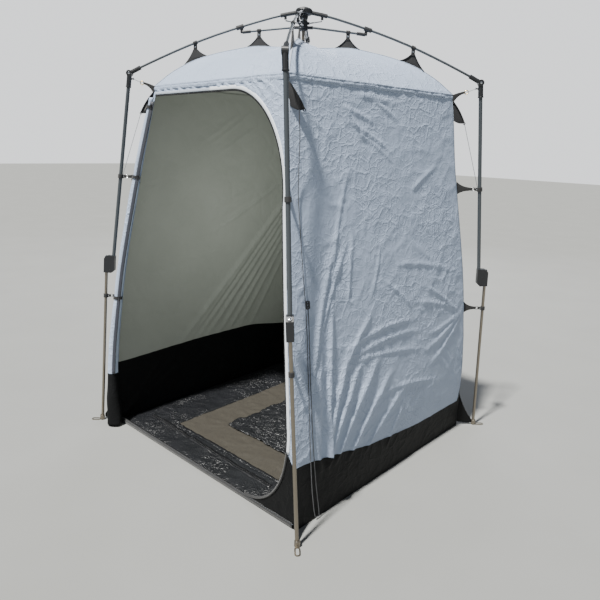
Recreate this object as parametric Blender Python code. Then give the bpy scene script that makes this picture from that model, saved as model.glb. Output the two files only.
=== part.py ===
"""Instant pop-up toilet tent: an umbrella hub, four bowed roof poles and four telescoping legs
carry a hollow fabric cabin on straps.

Units are metres, +Z is up, and the origin is on the ground under the hub. The doorway faces -Y.
The pitched tent stands slightly wrung: everything above the ground is turned about the mast by an
angle that grows evenly with height, so the four corners stay alike.
"""
import math

import bmesh
import bpy
from mathutils import Matrix, Vector

# Driving dimensions of the frame: half sides of its square outlines, and heights
FOOT_HALF = 0.750
ELBOW_HALF = 0.610
ELBOW_Z = 1.850
HUB_CAP_Z = 2.137
HUB_CAP_TOP_Z = 2.168
TWIST_PER_METRE = -0.0600

# Driving dimensions of the cabin: its half side at each height, from the ground to the eaves
CABIN_PROFILE = ((0.0, 0.685), (0.28, 0.690), (0.71, 0.665), (1.34, 0.587), (1.795, 0.520))
EAVES_Z = 1.795
ROOF_RIDGE = ((0.0, 1.986), (0.15, 1.991), (0.25, 1.970), (0.36, 1.929), (0.45, 1.868), (0.52, 1.795))
ROOF_SAG = 0.030
CLOTH = 0.003
FIT_GAP = 0.0003
WALL_LEVELS = 12
WALL_COLUMNS = 10

# Tube sizes
UPPER_LEG_RADIUS = 0.0095
LOWER_LEG_RADIUS = 0.008
ROOF_POLE_RADIUS = 0.0055
STRETCHER_RADIUS = 0.005
MAST_RADIUS = 0.0075
ROUND_SIDES = 12
POLE_SIDES = 10
MAST_SIDES = 16

# Leg lock: where the upper tube ends, and the block that carries both tubes side by side
KNEE_Z = 0.885
KNEE_UPPER_HALF = 0.690
TUBE_OFFSET = 0.034
LOCK_WIDTH = 0.056
LOCK_DEPTH = 0.030
LOCK_HEIGHT = 0.092
LOCK_CHAMFER = 0.016
LOCK_POCKET = 0.040

# Heights of the tie straps between cabin and legs
UPPER_TIE_Z = 1.345
LOWER_TIE_Z = 0.712

# Doorway in the front wall
DOOR_LEFT_MARGIN = 0.022
DOOR_RIGHT_MARGIN = 0.032
DOOR_SILL_Z = 0.030
DOOR_HEAD_Z = 1.752
DOOR_HEAD_RADII = (0.400, 0.450)
DOOR_FOOT_RADII = (0.280, 0.390)

CORNERS = {
    "front_right": (1, -1),
    "back_right": (1, 1),
    "back_left": (-1, 1),
    "front_left": (-1, -1),
}

BLACK_PLASTIC = ("black_plastic", (0.012, 0.012, 0.013), 0.42, 0.0)
BLACK_STEEL = ("black_painted_steel", (0.020, 0.021, 0.023), 0.38, 0.6)
GREY_STEEL = ("grey_steel", (0.190, 0.180, 0.160), 0.35, 0.9)
GREY_CLOTH = ("silver_grey_polyester", (0.330, 0.370, 0.420), 0.70, 0.0)
BLACK_CLOTH = ("black_polyester", (0.015, 0.016, 0.018), 0.55, 0.0)
WEBBING = ("black_webbing", (0.010, 0.010, 0.011), 0.80, 0.0)


SHARP_ANGLE = math.radians(35)
MERGE_DISTANCE = 1e-6
UP = Vector((0, 0, 1))


def clear_scene():
    for item in list(bpy.data.objects):
        bpy.data.objects.remove(item, do_unlink=True)


def material(recipe):
    name, colour, roughness, metallic = recipe
    existing = bpy.data.materials.get(name)
    if existing:
        return existing
    made = bpy.data.materials.new(name)
    made.use_nodes = True
    shader = made.node_tree.nodes["Principled BSDF"]
    shader.inputs["Base Color"].default_value = (*colour, 1.0)
    shader.inputs["Roughness"].default_value = roughness
    shader.inputs["Metallic"].default_value = metallic
    return made


def interpolate(table, at):
    """Smooth curve through a short table: cubic Hermite pieces with slopes limited to keep its shape."""
    xs = [row[0] for row in table]
    ys = [row[1] for row in table]
    at = min(max(at, xs[0]), xs[-1])
    steps = [(ys[i + 1] - ys[i]) / (xs[i + 1] - xs[i]) for i in range(len(xs) - 1)]
    slopes = [steps[0]]
    for i in range(1, len(steps)):
        alike = steps[i - 1] * steps[i] > 0
        slopes.append(2 * steps[i - 1] * steps[i] / (steps[i - 1] + steps[i]) if alike else 0.0)
    slopes.append(steps[-1])
    i = max(k for k in range(len(steps)) if at >= xs[k])
    width = xs[i + 1] - xs[i]
    t = (at - xs[i]) / width
    return (
        ys[i] * (1 + 2 * t) * (1 - t) ** 2
        + slopes[i] * width * t * (1 - t) ** 2
        + ys[i + 1] * t * t * (3 - 2 * t)
        + slopes[i + 1] * width * t * t * (t - 1)
    )


def cabin_half(z):
    return interpolate(CABIN_PROFILE, z)


def turned(x, y, z):
    """A point of the straight tent, turned about the mast as the pitched one is."""
    angle = TWIST_PER_METRE * z
    c = math.cos(angle)
    s = math.sin(angle)
    return Vector((c * x - s * y, s * x + c * y, z))


def corner_spot(corner, half, z):
    sign_x, sign_y = CORNERS[corner]
    return turned(sign_x * half, sign_y * half, z)


def outward(corner, z):
    """Unit vector from the mast to this corner at height z."""
    spot = corner_spot(corner, 1.0, z)
    return Vector((spot.x, spot.y, 0.0)).normalized()


def finish(mesh_builder, name, recipe):
    """Close a built mesh into an object of this material, shaded smooth between its sharp edges."""
    bmesh.ops.remove_doubles(mesh_builder, verts=mesh_builder.verts, dist=MERGE_DISTANCE)
    bmesh.ops.recalc_face_normals(mesh_builder, faces=mesh_builder.faces)
    mesh = bpy.data.meshes.new(name)
    mesh_builder.to_mesh(mesh)
    mesh_builder.free()
    mesh.materials.append(material(recipe))
    mesh.shade_smooth()
    mesh.set_sharp_from_angle(angle=SHARP_ANGLE)
    item = bpy.data.objects.new(name, mesh)
    bpy.context.scene.collection.objects.link(item)
    return item


def loft(name, sections, recipe):
    """Solid skinned over a list of closed outlines that all have the same number of points."""
    builder = bmesh.new()
    rings = [[builder.verts.new(point) for point in section] for section in sections]
    for lower, upper in zip(rings, rings[1:]):
        for i in range(len(lower)):
            j = (i + 1) % len(lower)
            builder.faces.new((lower[i], lower[j], upper[j], upper[i]))
    builder.faces.new(list(reversed(rings[0])))
    builder.faces.new(rings[-1])
    bmesh.ops.triangulate(builder, faces=[f for f in builder.faces if len(f.verts) > 4])
    return finish(builder, name, recipe)


def frame_along(direction, sideways):
    """Two unit vectors across a direction, the first as near to sideways as it can be."""
    along = direction.normalized()
    first = (sideways - along * sideways.dot(along)).normalized()
    return first, along.cross(first).normalized()


def tube(name, path, radius, recipe, sides=ROUND_SIDES, sideways=None):
    """Round bar along a path. A list of radii gives each point its own radius."""
    radii = radius if isinstance(radius, (list, tuple)) else [radius] * len(path)
    if sideways is None:
        upright = abs((path[-1] - path[0]).normalized().z) >= 0.8
        sideways = Vector((1, 0, 0)) if upright else UP
    turns = [2 * math.pi * k / sides for k in range(sides)]
    sections = []
    for i, point in enumerate(path):
        before = path[max(i - 1, 0)]
        after = path[min(i + 1, len(path) - 1)]
        first, second = frame_along(after - before, sideways)
        sections.append([point + (first * math.cos(a) + second * math.sin(a)) * radii[i] for a in turns])
    return loft(name, sections, recipe)


def block(name, origin, x_axis, z_axis, outline, depth, recipe):
    """Plate of an outline in the plane of two axes, its depth centred on that plane."""
    along = z_axis.normalized()
    first, second = frame_along(along, x_axis)
    near = [origin + first * x + along * z - second * (depth / 2) for x, z in outline]
    far = [origin + first * x + along * z + second * (depth / 2) for x, z in outline]
    return loft(name, [near, far], recipe)


def boolean(target, tool, operation):
    modifier = target.modifiers.new(operation.lower() + "_" + tool.name, "BOOLEAN")
    modifier.operation = operation
    modifier.object = tool
    modifier.solver = "EXACT"
    tool.hide_render = True
    tool.display_type = "WIRE"


def unite(target, *others):
    for other in others:
        boolean(target, other, "UNION")
    return target


def cut(target, *others):
    for other in others:
        boolean(target, other, "DIFFERENCE")
    return target


def between(first, second, share):
    return first + (second - first) * share


def lengthened(path, extra):
    """The same two-point path, carried on past its far end."""
    start, end = path
    return [start, end + (end - start).normalized() * extra]


# Lines of the legs: the upper tube from elbow to lock, the lower tube from foot to lock

def upper_leg_line(corner):
    top = corner_spot(corner, ELBOW_HALF, ELBOW_Z)
    bottom = corner_spot(corner, KNEE_UPPER_HALF, KNEE_Z)
    return top, bottom


def lower_leg_line(corner):
    """Foot point on the ground and the point of the lower tube's axis at the lock's middle."""
    foot = corner_spot(corner, FOOT_HALF, 0.0)
    knee = corner_spot(corner, KNEE_UPPER_HALF, KNEE_Z) + outward(corner, KNEE_Z) * TUBE_OFFSET
    return foot, knee


def on_line(line, z):
    first, second = line
    return between(first, second, (z - first.z) / (second.z - first.z))


# Hub crown, mast and runner

CAP_RADIUS = 0.040
CAP_RIM = 0.016
CAP_EDGE = 0.004
CAP_DOME = ((0.036, 0.009), (0.020, 0.003), (0.006, 0.0))
BOSS_RADIUS = 0.020
BOSS_BOTTOM_Z = 2.1125
BOSS_TOP_Z = 2.128
BOSS_CHAMFER = 0.003
SOCKET_RADIUS = 0.0095
SOCKET_PATH = ((0.020, 2.1455), (0.082, 2.1345), (0.112, 2.1281))
BORE_SLACK = 0.0003
BORE_OVERRUN = 0.010
POLE_PATH = ((0.082, 2.1345), (0.115, 2.1275), (0.200, 2.1050), (0.307, 2.0740),
             (0.420, 2.0380), (0.542, 1.9935), (0.700, 1.9270), (0.840, 1.8630))
MAST_TOP_Z = 2.150
MAST_BOTTOM_Z = 2.018
RUNNER_TOP_Z = 2.106
RUNNER_BOTTOM_Z = 2.062
RUNNER_RADIUS = 0.020
RUNNER_CHAMFER = 0.003
RUNNER_ARM_Z = 2.077
RUNNER_ARM_START = 0.012
RUNNER_ARM_END = 0.046
RUNNER_ARM_RADIUS = 0.0075
STRETCHER_START = (0.0468, 2.077)
STRETCHER_END = (0.286, 2.0525)
EAR_SPOT = (0.088, 2.1125)
EAR_HALF_WIDTH = 0.006
EAR_BELOW = 0.001
EAR_ABOVE = 0.017
EAR_THICKNESS = 0.010
LUG_Z = 2.0965
LUG_REACH = 0.0285
LUG_BELOW = 0.006
LUG_ABOVE = 0.005
LINK_LOW = (0.0294, 2.0965)
LINK_HIGH = (0.0876, 2.1063)
LINK_RADIUS = 0.003


def radial_spot(corner, reach, z):
    """Point at this distance from the mast's axis, straight toward the corner."""
    return outward(corner, z) * reach + Vector((0, 0, z))


def on_axis(z):
    return Vector((0, 0, z))


def turned_profile(name, profile, recipe, sides=24):
    """Round piece about the mast, from (radius, z) pairs that run up its outside; caps close it."""
    sections = []
    for radius, z in profile:
        angles = [2 * math.pi * k / sides for k in range(sides)]
        sections.append([Vector((radius * math.cos(a), radius * math.sin(a), z)) for a in angles])
    return loft(name, sections, recipe)


def make_hub():
    """Round cap on a boss, with a socket for each roof pole and an ear under each socket."""
    rim_top = HUB_CAP_Z + CAP_RIM
    cap_profile = [
        (BOSS_RADIUS - BOSS_CHAMFER, BOSS_BOTTOM_Z),
        (BOSS_RADIUS, BOSS_BOTTOM_Z + BOSS_CHAMFER),
        (BOSS_RADIUS, BOSS_TOP_Z),
        (CAP_RADIUS - CAP_EDGE, HUB_CAP_Z - CAP_EDGE),
        (CAP_RADIUS, HUB_CAP_Z),
        (CAP_RADIUS, rim_top),
    ]
    cap_profile += [(radius, HUB_CAP_TOP_Z - drop) for radius, drop in CAP_DOME]
    hub = turned_profile("hub_crown", cap_profile, BLACK_PLASTIC)
    ear_outline = (
        (-EAR_HALF_WIDTH, -EAR_BELOW),
        (EAR_HALF_WIDTH, -EAR_BELOW),
        (EAR_HALF_WIDTH, EAR_ABOVE),
        (-EAR_HALF_WIDTH, EAR_ABOVE),
    )
    for corner in CORNERS:
        socket_path = [radial_spot(corner, reach, z) for reach, z in SOCKET_PATH]
        socket = tube("socket_" + corner, socket_path, SOCKET_RADIUS, BLACK_PLASTIC)
        ear = block("ear_" + corner, radial_spot(corner, *EAR_SPOT), outward(corner, EAR_SPOT[1]), UP,
                    ear_outline, EAR_THICKNESS, BLACK_PLASTIC)
        unite(hub, socket, ear)
    for corner in CORNERS:
        path = pole_points(corner)[:3]
        path[0] = path[0] - (path[1] - path[0]).normalized() * BORE_SLACK
        cut(hub, tube("socket_bore_" + corner, path, ROOF_POLE_RADIUS + BORE_SLACK, BLACK_PLASTIC,
                      sides=POLE_SIDES))
    mast_bore = tube("mast_bore", [on_axis(MAST_BOTTOM_Z), on_axis(MAST_TOP_Z + BORE_SLACK)],
                     MAST_RADIUS + BORE_SLACK, BLACK_PLASTIC, sides=MAST_SIDES)
    cut(hub, mast_bore)


def make_mast():
    tube("mast", [on_axis(MAST_BOTTOM_Z), on_axis(MAST_TOP_Z)], MAST_RADIUS, GREY_STEEL, sides=MAST_SIDES)


def make_runner():
    """Sleeve on the mast: an arm for each stretcher and a lug for each crown link."""
    profile = (
        (RUNNER_RADIUS - RUNNER_CHAMFER, RUNNER_BOTTOM_Z),
        (RUNNER_RADIUS, RUNNER_BOTTOM_Z + RUNNER_CHAMFER),
        (RUNNER_RADIUS, RUNNER_TOP_Z - RUNNER_CHAMFER),
        (RUNNER_RADIUS - RUNNER_CHAMFER, RUNNER_TOP_Z),
    )
    runner = turned_profile("runner", profile, BLACK_PLASTIC)
    lug_outline = (
        (RUNNER_ARM_START, -LUG_BELOW),
        (LUG_REACH, -LUG_BELOW),
        (LUG_REACH, LUG_ABOVE),
        (RUNNER_ARM_START, LUG_ABOVE),
    )
    for corner in CORNERS:
        arm_path = [radial_spot(corner, reach, RUNNER_ARM_Z) for reach in (RUNNER_ARM_START, RUNNER_ARM_END)]
        arm = tube("runner_arm_" + corner, arm_path, RUNNER_ARM_RADIUS, BLACK_PLASTIC)
        lug = block("runner_lug_" + corner, on_axis(LUG_Z), outward(corner, LUG_Z), UP,
                    lug_outline, EAR_THICKNESS, BLACK_PLASTIC)
        unite(runner, arm, lug)
    bore_path = [on_axis(RUNNER_BOTTOM_Z - BORE_OVERRUN), on_axis(RUNNER_TOP_Z + BORE_OVERRUN)]
    bore = tube("runner_bore", bore_path, MAST_RADIUS + BORE_SLACK, BLACK_PLASTIC, sides=MAST_SIDES)
    cut(runner, bore)


def make_crown_link(corner):
    """Short rod from the runner's lug to the ear under the pole's socket."""
    path = [radial_spot(corner, *LINK_LOW), radial_spot(corner, *LINK_HIGH)]
    tube("crown_link_" + corner, path, LINK_RADIUS, BLACK_STEEL, sides=8)


def stretcher_line(corner):
    return [radial_spot(corner, *STRETCHER_START), radial_spot(corner, *STRETCHER_END)]


def make_stretcher(corner):
    tube("stretcher_" + corner, stretcher_line(corner), STRETCHER_RADIUS, BLACK_STEEL, sides=POLE_SIDES)


# Roof poles and their brackets

POLE_STEPS = 12
BRACKET_START = 0.290
BRACKET_END = 0.326
BRACKET_RADIUS = 0.0105
BRACKET_PLATE = 0.010
BRACKET_PLATE_REACH = 0.296
BRACKET_PLATE_OUTLINE = ((-0.006, -0.006), (0.009, -0.006), (0.012, 0.018), (-0.003, 0.018))
CUP_WALL = 0.003
CUP_PATH = ((0.256, 2.0556), (0.296, 2.0514))


def pole_height(reach):
    return interpolate(POLE_PATH, reach)


def pole_run(corner, start, end, count):
    reaches = [start + (end - start) * k / (count - 1) for k in range(count)]
    return [radial_spot(corner, reach, pole_height(reach)) for reach in reaches]


def pole_points(corner):
    return pole_run(corner, POLE_PATH[0][0], POLE_PATH[-1][0], POLE_STEPS)


def make_roof_pole(corner):
    tube("roof_pole_" + corner, pole_points(corner), ROOF_POLE_RADIUS, BLACK_STEEL, sides=POLE_SIDES)


def make_pole_bracket(corner):
    """Sleeve clamped on the roof pole, with a plate down to the cup of the stretcher's end."""
    stretcher_z = STRETCHER_END[1]
    sleeve = tube("pole_bracket_" + corner, pole_run(corner, BRACKET_START, BRACKET_END, 2),
                  BRACKET_RADIUS, BLACK_PLASTIC)
    plate = block("bracket_plate_" + corner, radial_spot(corner, BRACKET_PLATE_REACH, stretcher_z),
                  outward(corner, stretcher_z), UP, BRACKET_PLATE_OUTLINE, BRACKET_PLATE, BLACK_PLASTIC)
    cup = tube("bracket_cup_" + corner, [radial_spot(corner, *spot) for spot in CUP_PATH],
               STRETCHER_RADIUS + CUP_WALL, BLACK_PLASTIC, sides=POLE_SIDES)
    unite(sleeve, plate, cup)
    bore = tube("bracket_bore_" + corner, pole_points(corner), ROOF_POLE_RADIUS + BORE_SLACK,
                BLACK_PLASTIC, sides=POLE_SIDES)
    seat = tube("bracket_seat_" + corner, lengthened(stretcher_line(corner), BORE_SLACK),
                STRETCHER_RADIUS + BORE_SLACK, BLACK_PLASTIC, sides=POLE_SIDES)
    cut(sleeve, bore, seat)


# Elbows and legs

ELBOW_SLEEVE_RADIUS = 0.0125
ELBOW_SLEEVE_RISE = 0.006
ELBOW_SLEEVE_LENGTH = 0.068
ELBOW_ARM_RADIUS = 0.0105
ELBOW_ARM_LENGTH = 0.0372
ELBOW_PIVOT_RADIUS = 0.015
ELBOW_PIVOT_WIDTH = 0.026
HOOK_DROP = 0.030
HOOK_LENGTH = 0.022
HOOK_RISE = 0.004
HOOK_RADIUS = 0.0035
LEG_SEAT_DEPTH = 0.050


def make_elbow(corner):
    """Pivot block with a sleeve down onto the leg, an arm along the roof pole and a cord hook."""
    pivot = corner_spot(corner, ELBOW_HALF, ELBOW_Z)
    out = outward(corner, ELBOW_Z)
    top, bottom = upper_leg_line(corner)
    down = (bottom - top).normalized()
    elbow = tube("elbow_" + corner, [pivot - down * ELBOW_SLEEVE_RISE, pivot + down * ELBOW_SLEEVE_LENGTH],
                 ELBOW_SLEEVE_RADIUS, BLACK_PLASTIC, sideways=out)
    before_end, pole_end = pole_points(corner)[-2:]
    inboard = (before_end - pole_end).normalized()
    arm = tube("elbow_arm_" + corner, [pivot, pole_end + inboard * ELBOW_ARM_LENGTH],
               ELBOW_ARM_RADIUS, BLACK_PLASTIC)
    half_disc = UP.cross(out) * ELBOW_PIVOT_WIDTH / 2
    disc = tube("elbow_disc_" + corner, [pivot - half_disc, pivot + half_disc],
                ELBOW_PIVOT_RADIUS, BLACK_PLASTIC, sides=16)
    hook_root = pivot + down * HOOK_DROP
    hook_tip = hook_root - out * HOOK_LENGTH + UP * HOOK_RISE
    hook = tube("elbow_hook_" + corner, [hook_root, hook_tip], HOOK_RADIUS, BLACK_PLASTIC, sides=8)
    unite(elbow, arm, disc, hook)
    seat_top = pivot + down * (ELBOW_SLEEVE_LENGTH - LEG_SEAT_DEPTH - BORE_SLACK)
    leg_bore = tube("elbow_leg_bore_" + corner,
                    [seat_top, pivot + down * (ELBOW_SLEEVE_LENGTH + BORE_OVERRUN)],
                    UPPER_LEG_RADIUS + BORE_SLACK, BLACK_PLASTIC, sideways=out)
    bore_path = pole_points(corner)
    bore_path[-1] = bore_path[-1] - inboard * BORE_SLACK
    pole_bore = tube("elbow_pole_bore_" + corner, bore_path, ROOF_POLE_RADIUS + BORE_SLACK,
                     BLACK_PLASTIC, sides=POLE_SIDES)
    cut(elbow, leg_bore, pole_bore)


def make_upper_leg(corner):
    top, bottom = upper_leg_line(corner)
    direction = (bottom - top).normalized()
    start = top + direction * (ELBOW_SLEEVE_LENGTH - LEG_SEAT_DEPTH)
    end = lock_pocket_floor(corner)
    tube("upper_leg_" + corner, [start, end], UPPER_LEG_RADIUS, BLACK_STEEL,
         sideways=outward(corner, ELBOW_Z))


def lock_axes(corner):
    """Origin at the lock's middle between both tubes, outward axis, and the lower tube's direction."""
    foot, knee = lower_leg_line(corner)
    up = (knee - foot).normalized()
    out = outward(corner, KNEE_Z)
    first, _ = frame_along(up, out)
    return knee - first * (TUBE_OFFSET / 2), first, up


def lock_pocket_floor(corner):
    """Lower end of the upper tube, inside the lock block."""
    line = upper_leg_line(corner)
    origin, _, up = lock_axes(corner)
    top_z = origin.z + LOCK_HEIGHT / 2
    return on_line(line, top_z - LOCK_POCKET)


BUTTON_RADIUS = 0.0075
BUTTON_SINK = 0.004
BUTTON_RISE = 0.003
LOCK_BORE_REACH = 0.090


def make_leg_lock(corner):
    """Push-button block that joins the two leg tubes side by side."""
    origin, first, up = lock_axes(corner)
    half_width = LOCK_WIDTH / 2
    half_height = LOCK_HEIGHT / 2
    outline = (
        (-half_width, half_height),
        (-half_width, -half_height + LOCK_CHAMFER),
        (-half_width + LOCK_CHAMFER, -half_height),
        (half_width, -half_height),
        (half_width, half_height - LOCK_CHAMFER),
        (half_width - LOCK_CHAMFER, half_height),
    )
    lock = block("leg_lock_" + corner, origin, first, up, outline, LOCK_DEPTH, BLACK_PLASTIC)
    on_slope = origin + first * (half_width - LOCK_CHAMFER / 2) + up * (half_height - LOCK_CHAMFER / 2)
    slope = (first + up).normalized()
    button = tube("lock_button_" + corner, [on_slope - slope * BUTTON_SINK, on_slope + slope * BUTTON_RISE],
                  BUTTON_RADIUS, BLACK_PLASTIC)
    top, bottom = upper_leg_line(corner)
    down = (bottom - top).normalized()
    floor = lock_pocket_floor(corner)
    pocket = tube("lock_pocket_" + corner, [floor - down * LOCK_BORE_REACH, floor + down * BORE_SLACK],
                  UPPER_LEG_RADIUS + BORE_SLACK, BLACK_PLASTIC, sideways=outward(corner, ELBOW_Z))
    foot, knee = lower_leg_line(corner)
    slide = tube("lock_slide_" + corner, [knee - up * LOCK_BORE_REACH, knee + up * LOCK_BORE_REACH],
                 LOWER_LEG_RADIUS + BORE_SLACK, BLACK_PLASTIC, sideways=outward(corner, KNEE_Z))
    unite(lock, button)
    cut(lock, pocket, slide)


PEG_LOOP_LENGTH = 0.052
PEG_LOOP_WIDTH = 0.024
PEG_LOOP_BAND = 0.005
PEG_LOOP_HEIGHT = 0.0035
PEG_LOOP_OVERLAP = 0.005
CUTTER_OVERRUN = 0.002
FOOT_PROFILE = ((0.0, 0.0105), (0.003, 0.0125), (0.026, 0.0125), (0.030, 0.0095))
FOOT_RADIUS = 0.0125
LOWER_LEG_BOTTOM_Z = 0.015
LOWER_LEG_TOP = 0.012


def slot_plate(name, middle, direction, length, width, bottom, top):
    """Flat plate with round ends, lying between two heights."""
    sideways = Vector((0, 0, 1)).cross(direction)
    radius = width / 2
    straight = length / 2 - radius
    rim = []
    for end, first_angle in ((1, -90), (-1, 90)):
        for k in range(7):
            angle = math.radians(first_angle + 30 * k)
            reach = end * straight + radius * math.cos(angle)
            rim.append(direction * reach + sideways * radius * math.sin(angle))
    flat = Vector((middle.x, middle.y, 0.0))
    sections = [[flat + spot + Vector((0, 0, z)) for spot in rim] for z in (bottom, top)]
    return loft(name, sections, WEBBING)


def make_lower_leg(corner):
    """Lower tube with its foot and peg loop; it slides up through the lock along its own axis."""
    foot, knee = lower_leg_line(corner)
    up = (knee - foot).normalized()
    across = outward(corner, KNEE_Z)
    start = on_line((foot, knee), LOWER_LEG_BOTTOM_Z)
    leg = tube("lower_leg_" + corner, [start, knee + up * LOWER_LEG_TOP], LOWER_LEG_RADIUS, GREY_STEEL,
               sideways=across)
    shoe = tube("foot_" + corner, [foot + UP * height for height, radius in FOOT_PROFILE],
                [radius for height, radius in FOOT_PROFILE], BLACK_PLASTIC, sideways=across)
    direction = outward(corner, 0.0)
    middle = foot + direction * (PEG_LOOP_LENGTH / 2 + FOOT_RADIUS - PEG_LOOP_OVERLAP)
    loop = slot_plate("peg_loop_" + corner, middle, direction, PEG_LOOP_LENGTH, PEG_LOOP_WIDTH,
                      0.0, PEG_LOOP_HEIGHT)
    hole = slot_plate("peg_loop_hole_" + corner, middle, direction, PEG_LOOP_LENGTH - 2 * PEG_LOOP_BAND,
                      PEG_LOOP_WIDTH - 2 * PEG_LOOP_BAND, -CUTTER_OVERRUN, PEG_LOOP_HEIGHT + CUTTER_OVERRUN)
    cut(loop, hole)
    unite(leg, shoe, loop)


# Cabin walls

def wall_point(side, along, height, inset, margin):
    """Point of a wall: along runs -1 to 1, inset is the depth in from the outer face."""
    half = cabin_half(height) - inset
    reach = along * (half - margin)
    spots = {"front": (reach, -half), "right": (half, reach), "back": (-reach, half), "left": (-half, -reach)}
    return turned(*spots[side], height)


def wall_heights(count, bottom, top):
    return [bottom + (top - bottom) * k / count for k in range(count + 1)]


def wall_slab(name, side, bottom, top, columns, levels):
    """Curved wall of cloth thickness, mitred at both corners."""
    builder = bmesh.new()
    heights = wall_heights(levels, bottom, top)
    grids = []
    for inset in (0.0, CLOTH):
        grid = []
        for height in heights:
            row = [wall_point(side, -1 + 2 * k / columns, height, inset, FIT_GAP) for k in range(columns + 1)]
            grid.append([builder.verts.new(point) for point in row])
        grids.append(grid)
    outer, inner = grids
    for i in range(levels):
        for k in range(columns):
            builder.faces.new((outer[i][k], outer[i][k + 1], outer[i + 1][k + 1], outer[i + 1][k]))
            builder.faces.new((inner[i][k + 1], inner[i][k], inner[i + 1][k], inner[i + 1][k + 1]))
    for i in range(levels):
        j = i + 1
        builder.faces.new((outer[i][0], outer[j][0], inner[j][0], inner[i][0]))
        builder.faces.new((outer[j][columns], outer[i][columns], inner[i][columns], inner[j][columns]))
    for k in range(columns):
        builder.faces.new((outer[0][k + 1], outer[0][k], inner[0][k], inner[0][k + 1]))
        builder.faces.new((outer[levels][k], outer[levels][k + 1], inner[levels][k + 1], inner[levels][k]))
    return finish(builder, name, GREY_CLOTH)


WALL_TOP_Z = EAVES_Z - CLOTH - FIT_GAP


DOOR_ARC_STEPS = 8
DOOR_RIGHT_STEPS = 4
DOOR_LEFT_STEPS = 7
DOOR_CUTTER_Y = (-0.95, -0.25)


def doorway_outline():
    """Doorway seen from the front, as (distance from the wall's middle, height) pairs."""
    left_top = -cabin_half(DOOR_HEAD_Z) + DOOR_LEFT_MARGIN
    points = [(-cabin_half(DOOR_SILL_Z) + DOOR_LEFT_MARGIN, DOOR_SILL_Z)]
    foot_width, foot_height = DOOR_FOOT_RADII
    foot_top = DOOR_SILL_Z + foot_height
    foot_x = cabin_half(foot_top) - DOOR_RIGHT_MARGIN - foot_width
    quarter = [math.pi / 2 * k / DOOR_ARC_STEPS for k in range(DOOR_ARC_STEPS + 1)]
    for angle in quarter:
        points.append((foot_x + foot_width * math.sin(angle), foot_top - foot_height * math.cos(angle)))
    head_width, head_height = DOOR_HEAD_RADII
    head_bottom = DOOR_HEAD_Z - head_height
    for height in wall_heights(DOOR_RIGHT_STEPS, foot_top, head_bottom)[1:-1]:
        points.append((cabin_half(height) - DOOR_RIGHT_MARGIN, height))
    head_x = cabin_half(head_bottom) - DOOR_RIGHT_MARGIN - head_width
    for angle in quarter:
        points.append((head_x + head_width * math.cos(angle), head_bottom + head_height * math.sin(angle)))
    points.append((left_top, DOOR_HEAD_Z))
    for height in reversed(wall_heights(DOOR_LEFT_STEPS, DOOR_SILL_Z, DOOR_HEAD_Z)[1:-1]):
        points.append((-cabin_half(height) + DOOR_LEFT_MARGIN, height))
    return points


def make_front_wall():
    wall = wall_slab("front_wall", "front", 0.0, WALL_TOP_Z, WALL_COLUMNS, WALL_LEVELS)
    outline = [turned(x, -cabin_half(z), z) for x, z in doorway_outline()]
    sections = [[Vector((point.x, y, point.z)) for point in outline] for y in DOOR_CUTTER_Y]
    cutter = loft("doorway_cutter", sections, GREY_CLOTH)
    cut(wall, cutter)


def make_plain_walls():
    for side in ("right", "back", "left"):
        wall_slab(side + "_wall", side, 0.0, WALL_TOP_Z, WALL_COLUMNS // 2, WALL_LEVELS)


# Roof canopy

ROOF_RINGS = (0.0, 0.07, 0.15, 0.22, 0.29, 0.36, 0.41, 0.46, 0.52)
ROOF_SIDE_STEPS = 6


def roof_height(x, y):
    """Height of the roof cloth: a ridge along each diagonal, sagging a little between ridges."""
    ring = max(abs(x), abs(y))
    if ring < 1e-9:
        return ROOF_RIDGE[0][1]
    toward_corner = min(abs(x), abs(y)) / ring
    slack = math.sin(math.pi * min(ring / ROOF_RIDGE[-1][0], 1.0)) * ROOF_SAG
    return interpolate(ROOF_RIDGE, ring) - slack * (1 - toward_corner ** 2)


def ring_points(half):
    """Points round a square of this half side, starting at its front left corner."""
    steps = ROOF_SIDE_STEPS
    run = [-half + 2 * half * k / steps for k in range(steps)]
    points = [(v, -half) for v in run] + [(half, v) for v in run]
    points += [(-v, half) for v in run] + [(-half, -v) for v in run]
    return points


def make_roof():
    """Roof cloth from the middle out to the eaves: an upper sheet, a lower one and the rim between."""
    builder = bmesh.new()
    rims = []
    for drop in (0.0, CLOTH):
        centre = builder.verts.new((0, 0, roof_height(0, 0) - drop))
        rings = [[builder.verts.new(turned(x, y, roof_height(x, y) - drop)) for x, y in ring_points(half)]
                 for half in ROOF_RINGS[1:]]
        count = len(rings[0])
        for i in range(count):
            builder.faces.new((centre, rings[0][i], rings[0][(i + 1) % count]))
        for inner, outer in zip(rings, rings[1:]):
            for i in range(count):
                j = (i + 1) % count
                builder.faces.new((inner[i], outer[i], outer[j], inner[j]))
        rims.append(rings[-1])
    upper, lower = rims
    for i in range(len(upper)):
        j = (i + 1) % len(upper)
        builder.faces.new((upper[i], lower[i], lower[j], upper[j]))
    finish(builder, "roof_canopy", GREY_CLOTH)


def make_groundsheet():
    inner = cabin_half(0.0) - CLOTH - FIT_GAP
    outline = ((-inner, -inner), (inner, -inner), (inner, inner), (-inner, inner))
    lower = [Vector((x, y, 0.0)) for x, y in outline]
    upper = [Vector((x, y, CLOTH)) for x, y in outline]
    loft("groundsheet", [lower, upper], BLACK_CLOTH)


# Webbing on each corner: seam tape, tie straps, guy gusset and foot tail

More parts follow.
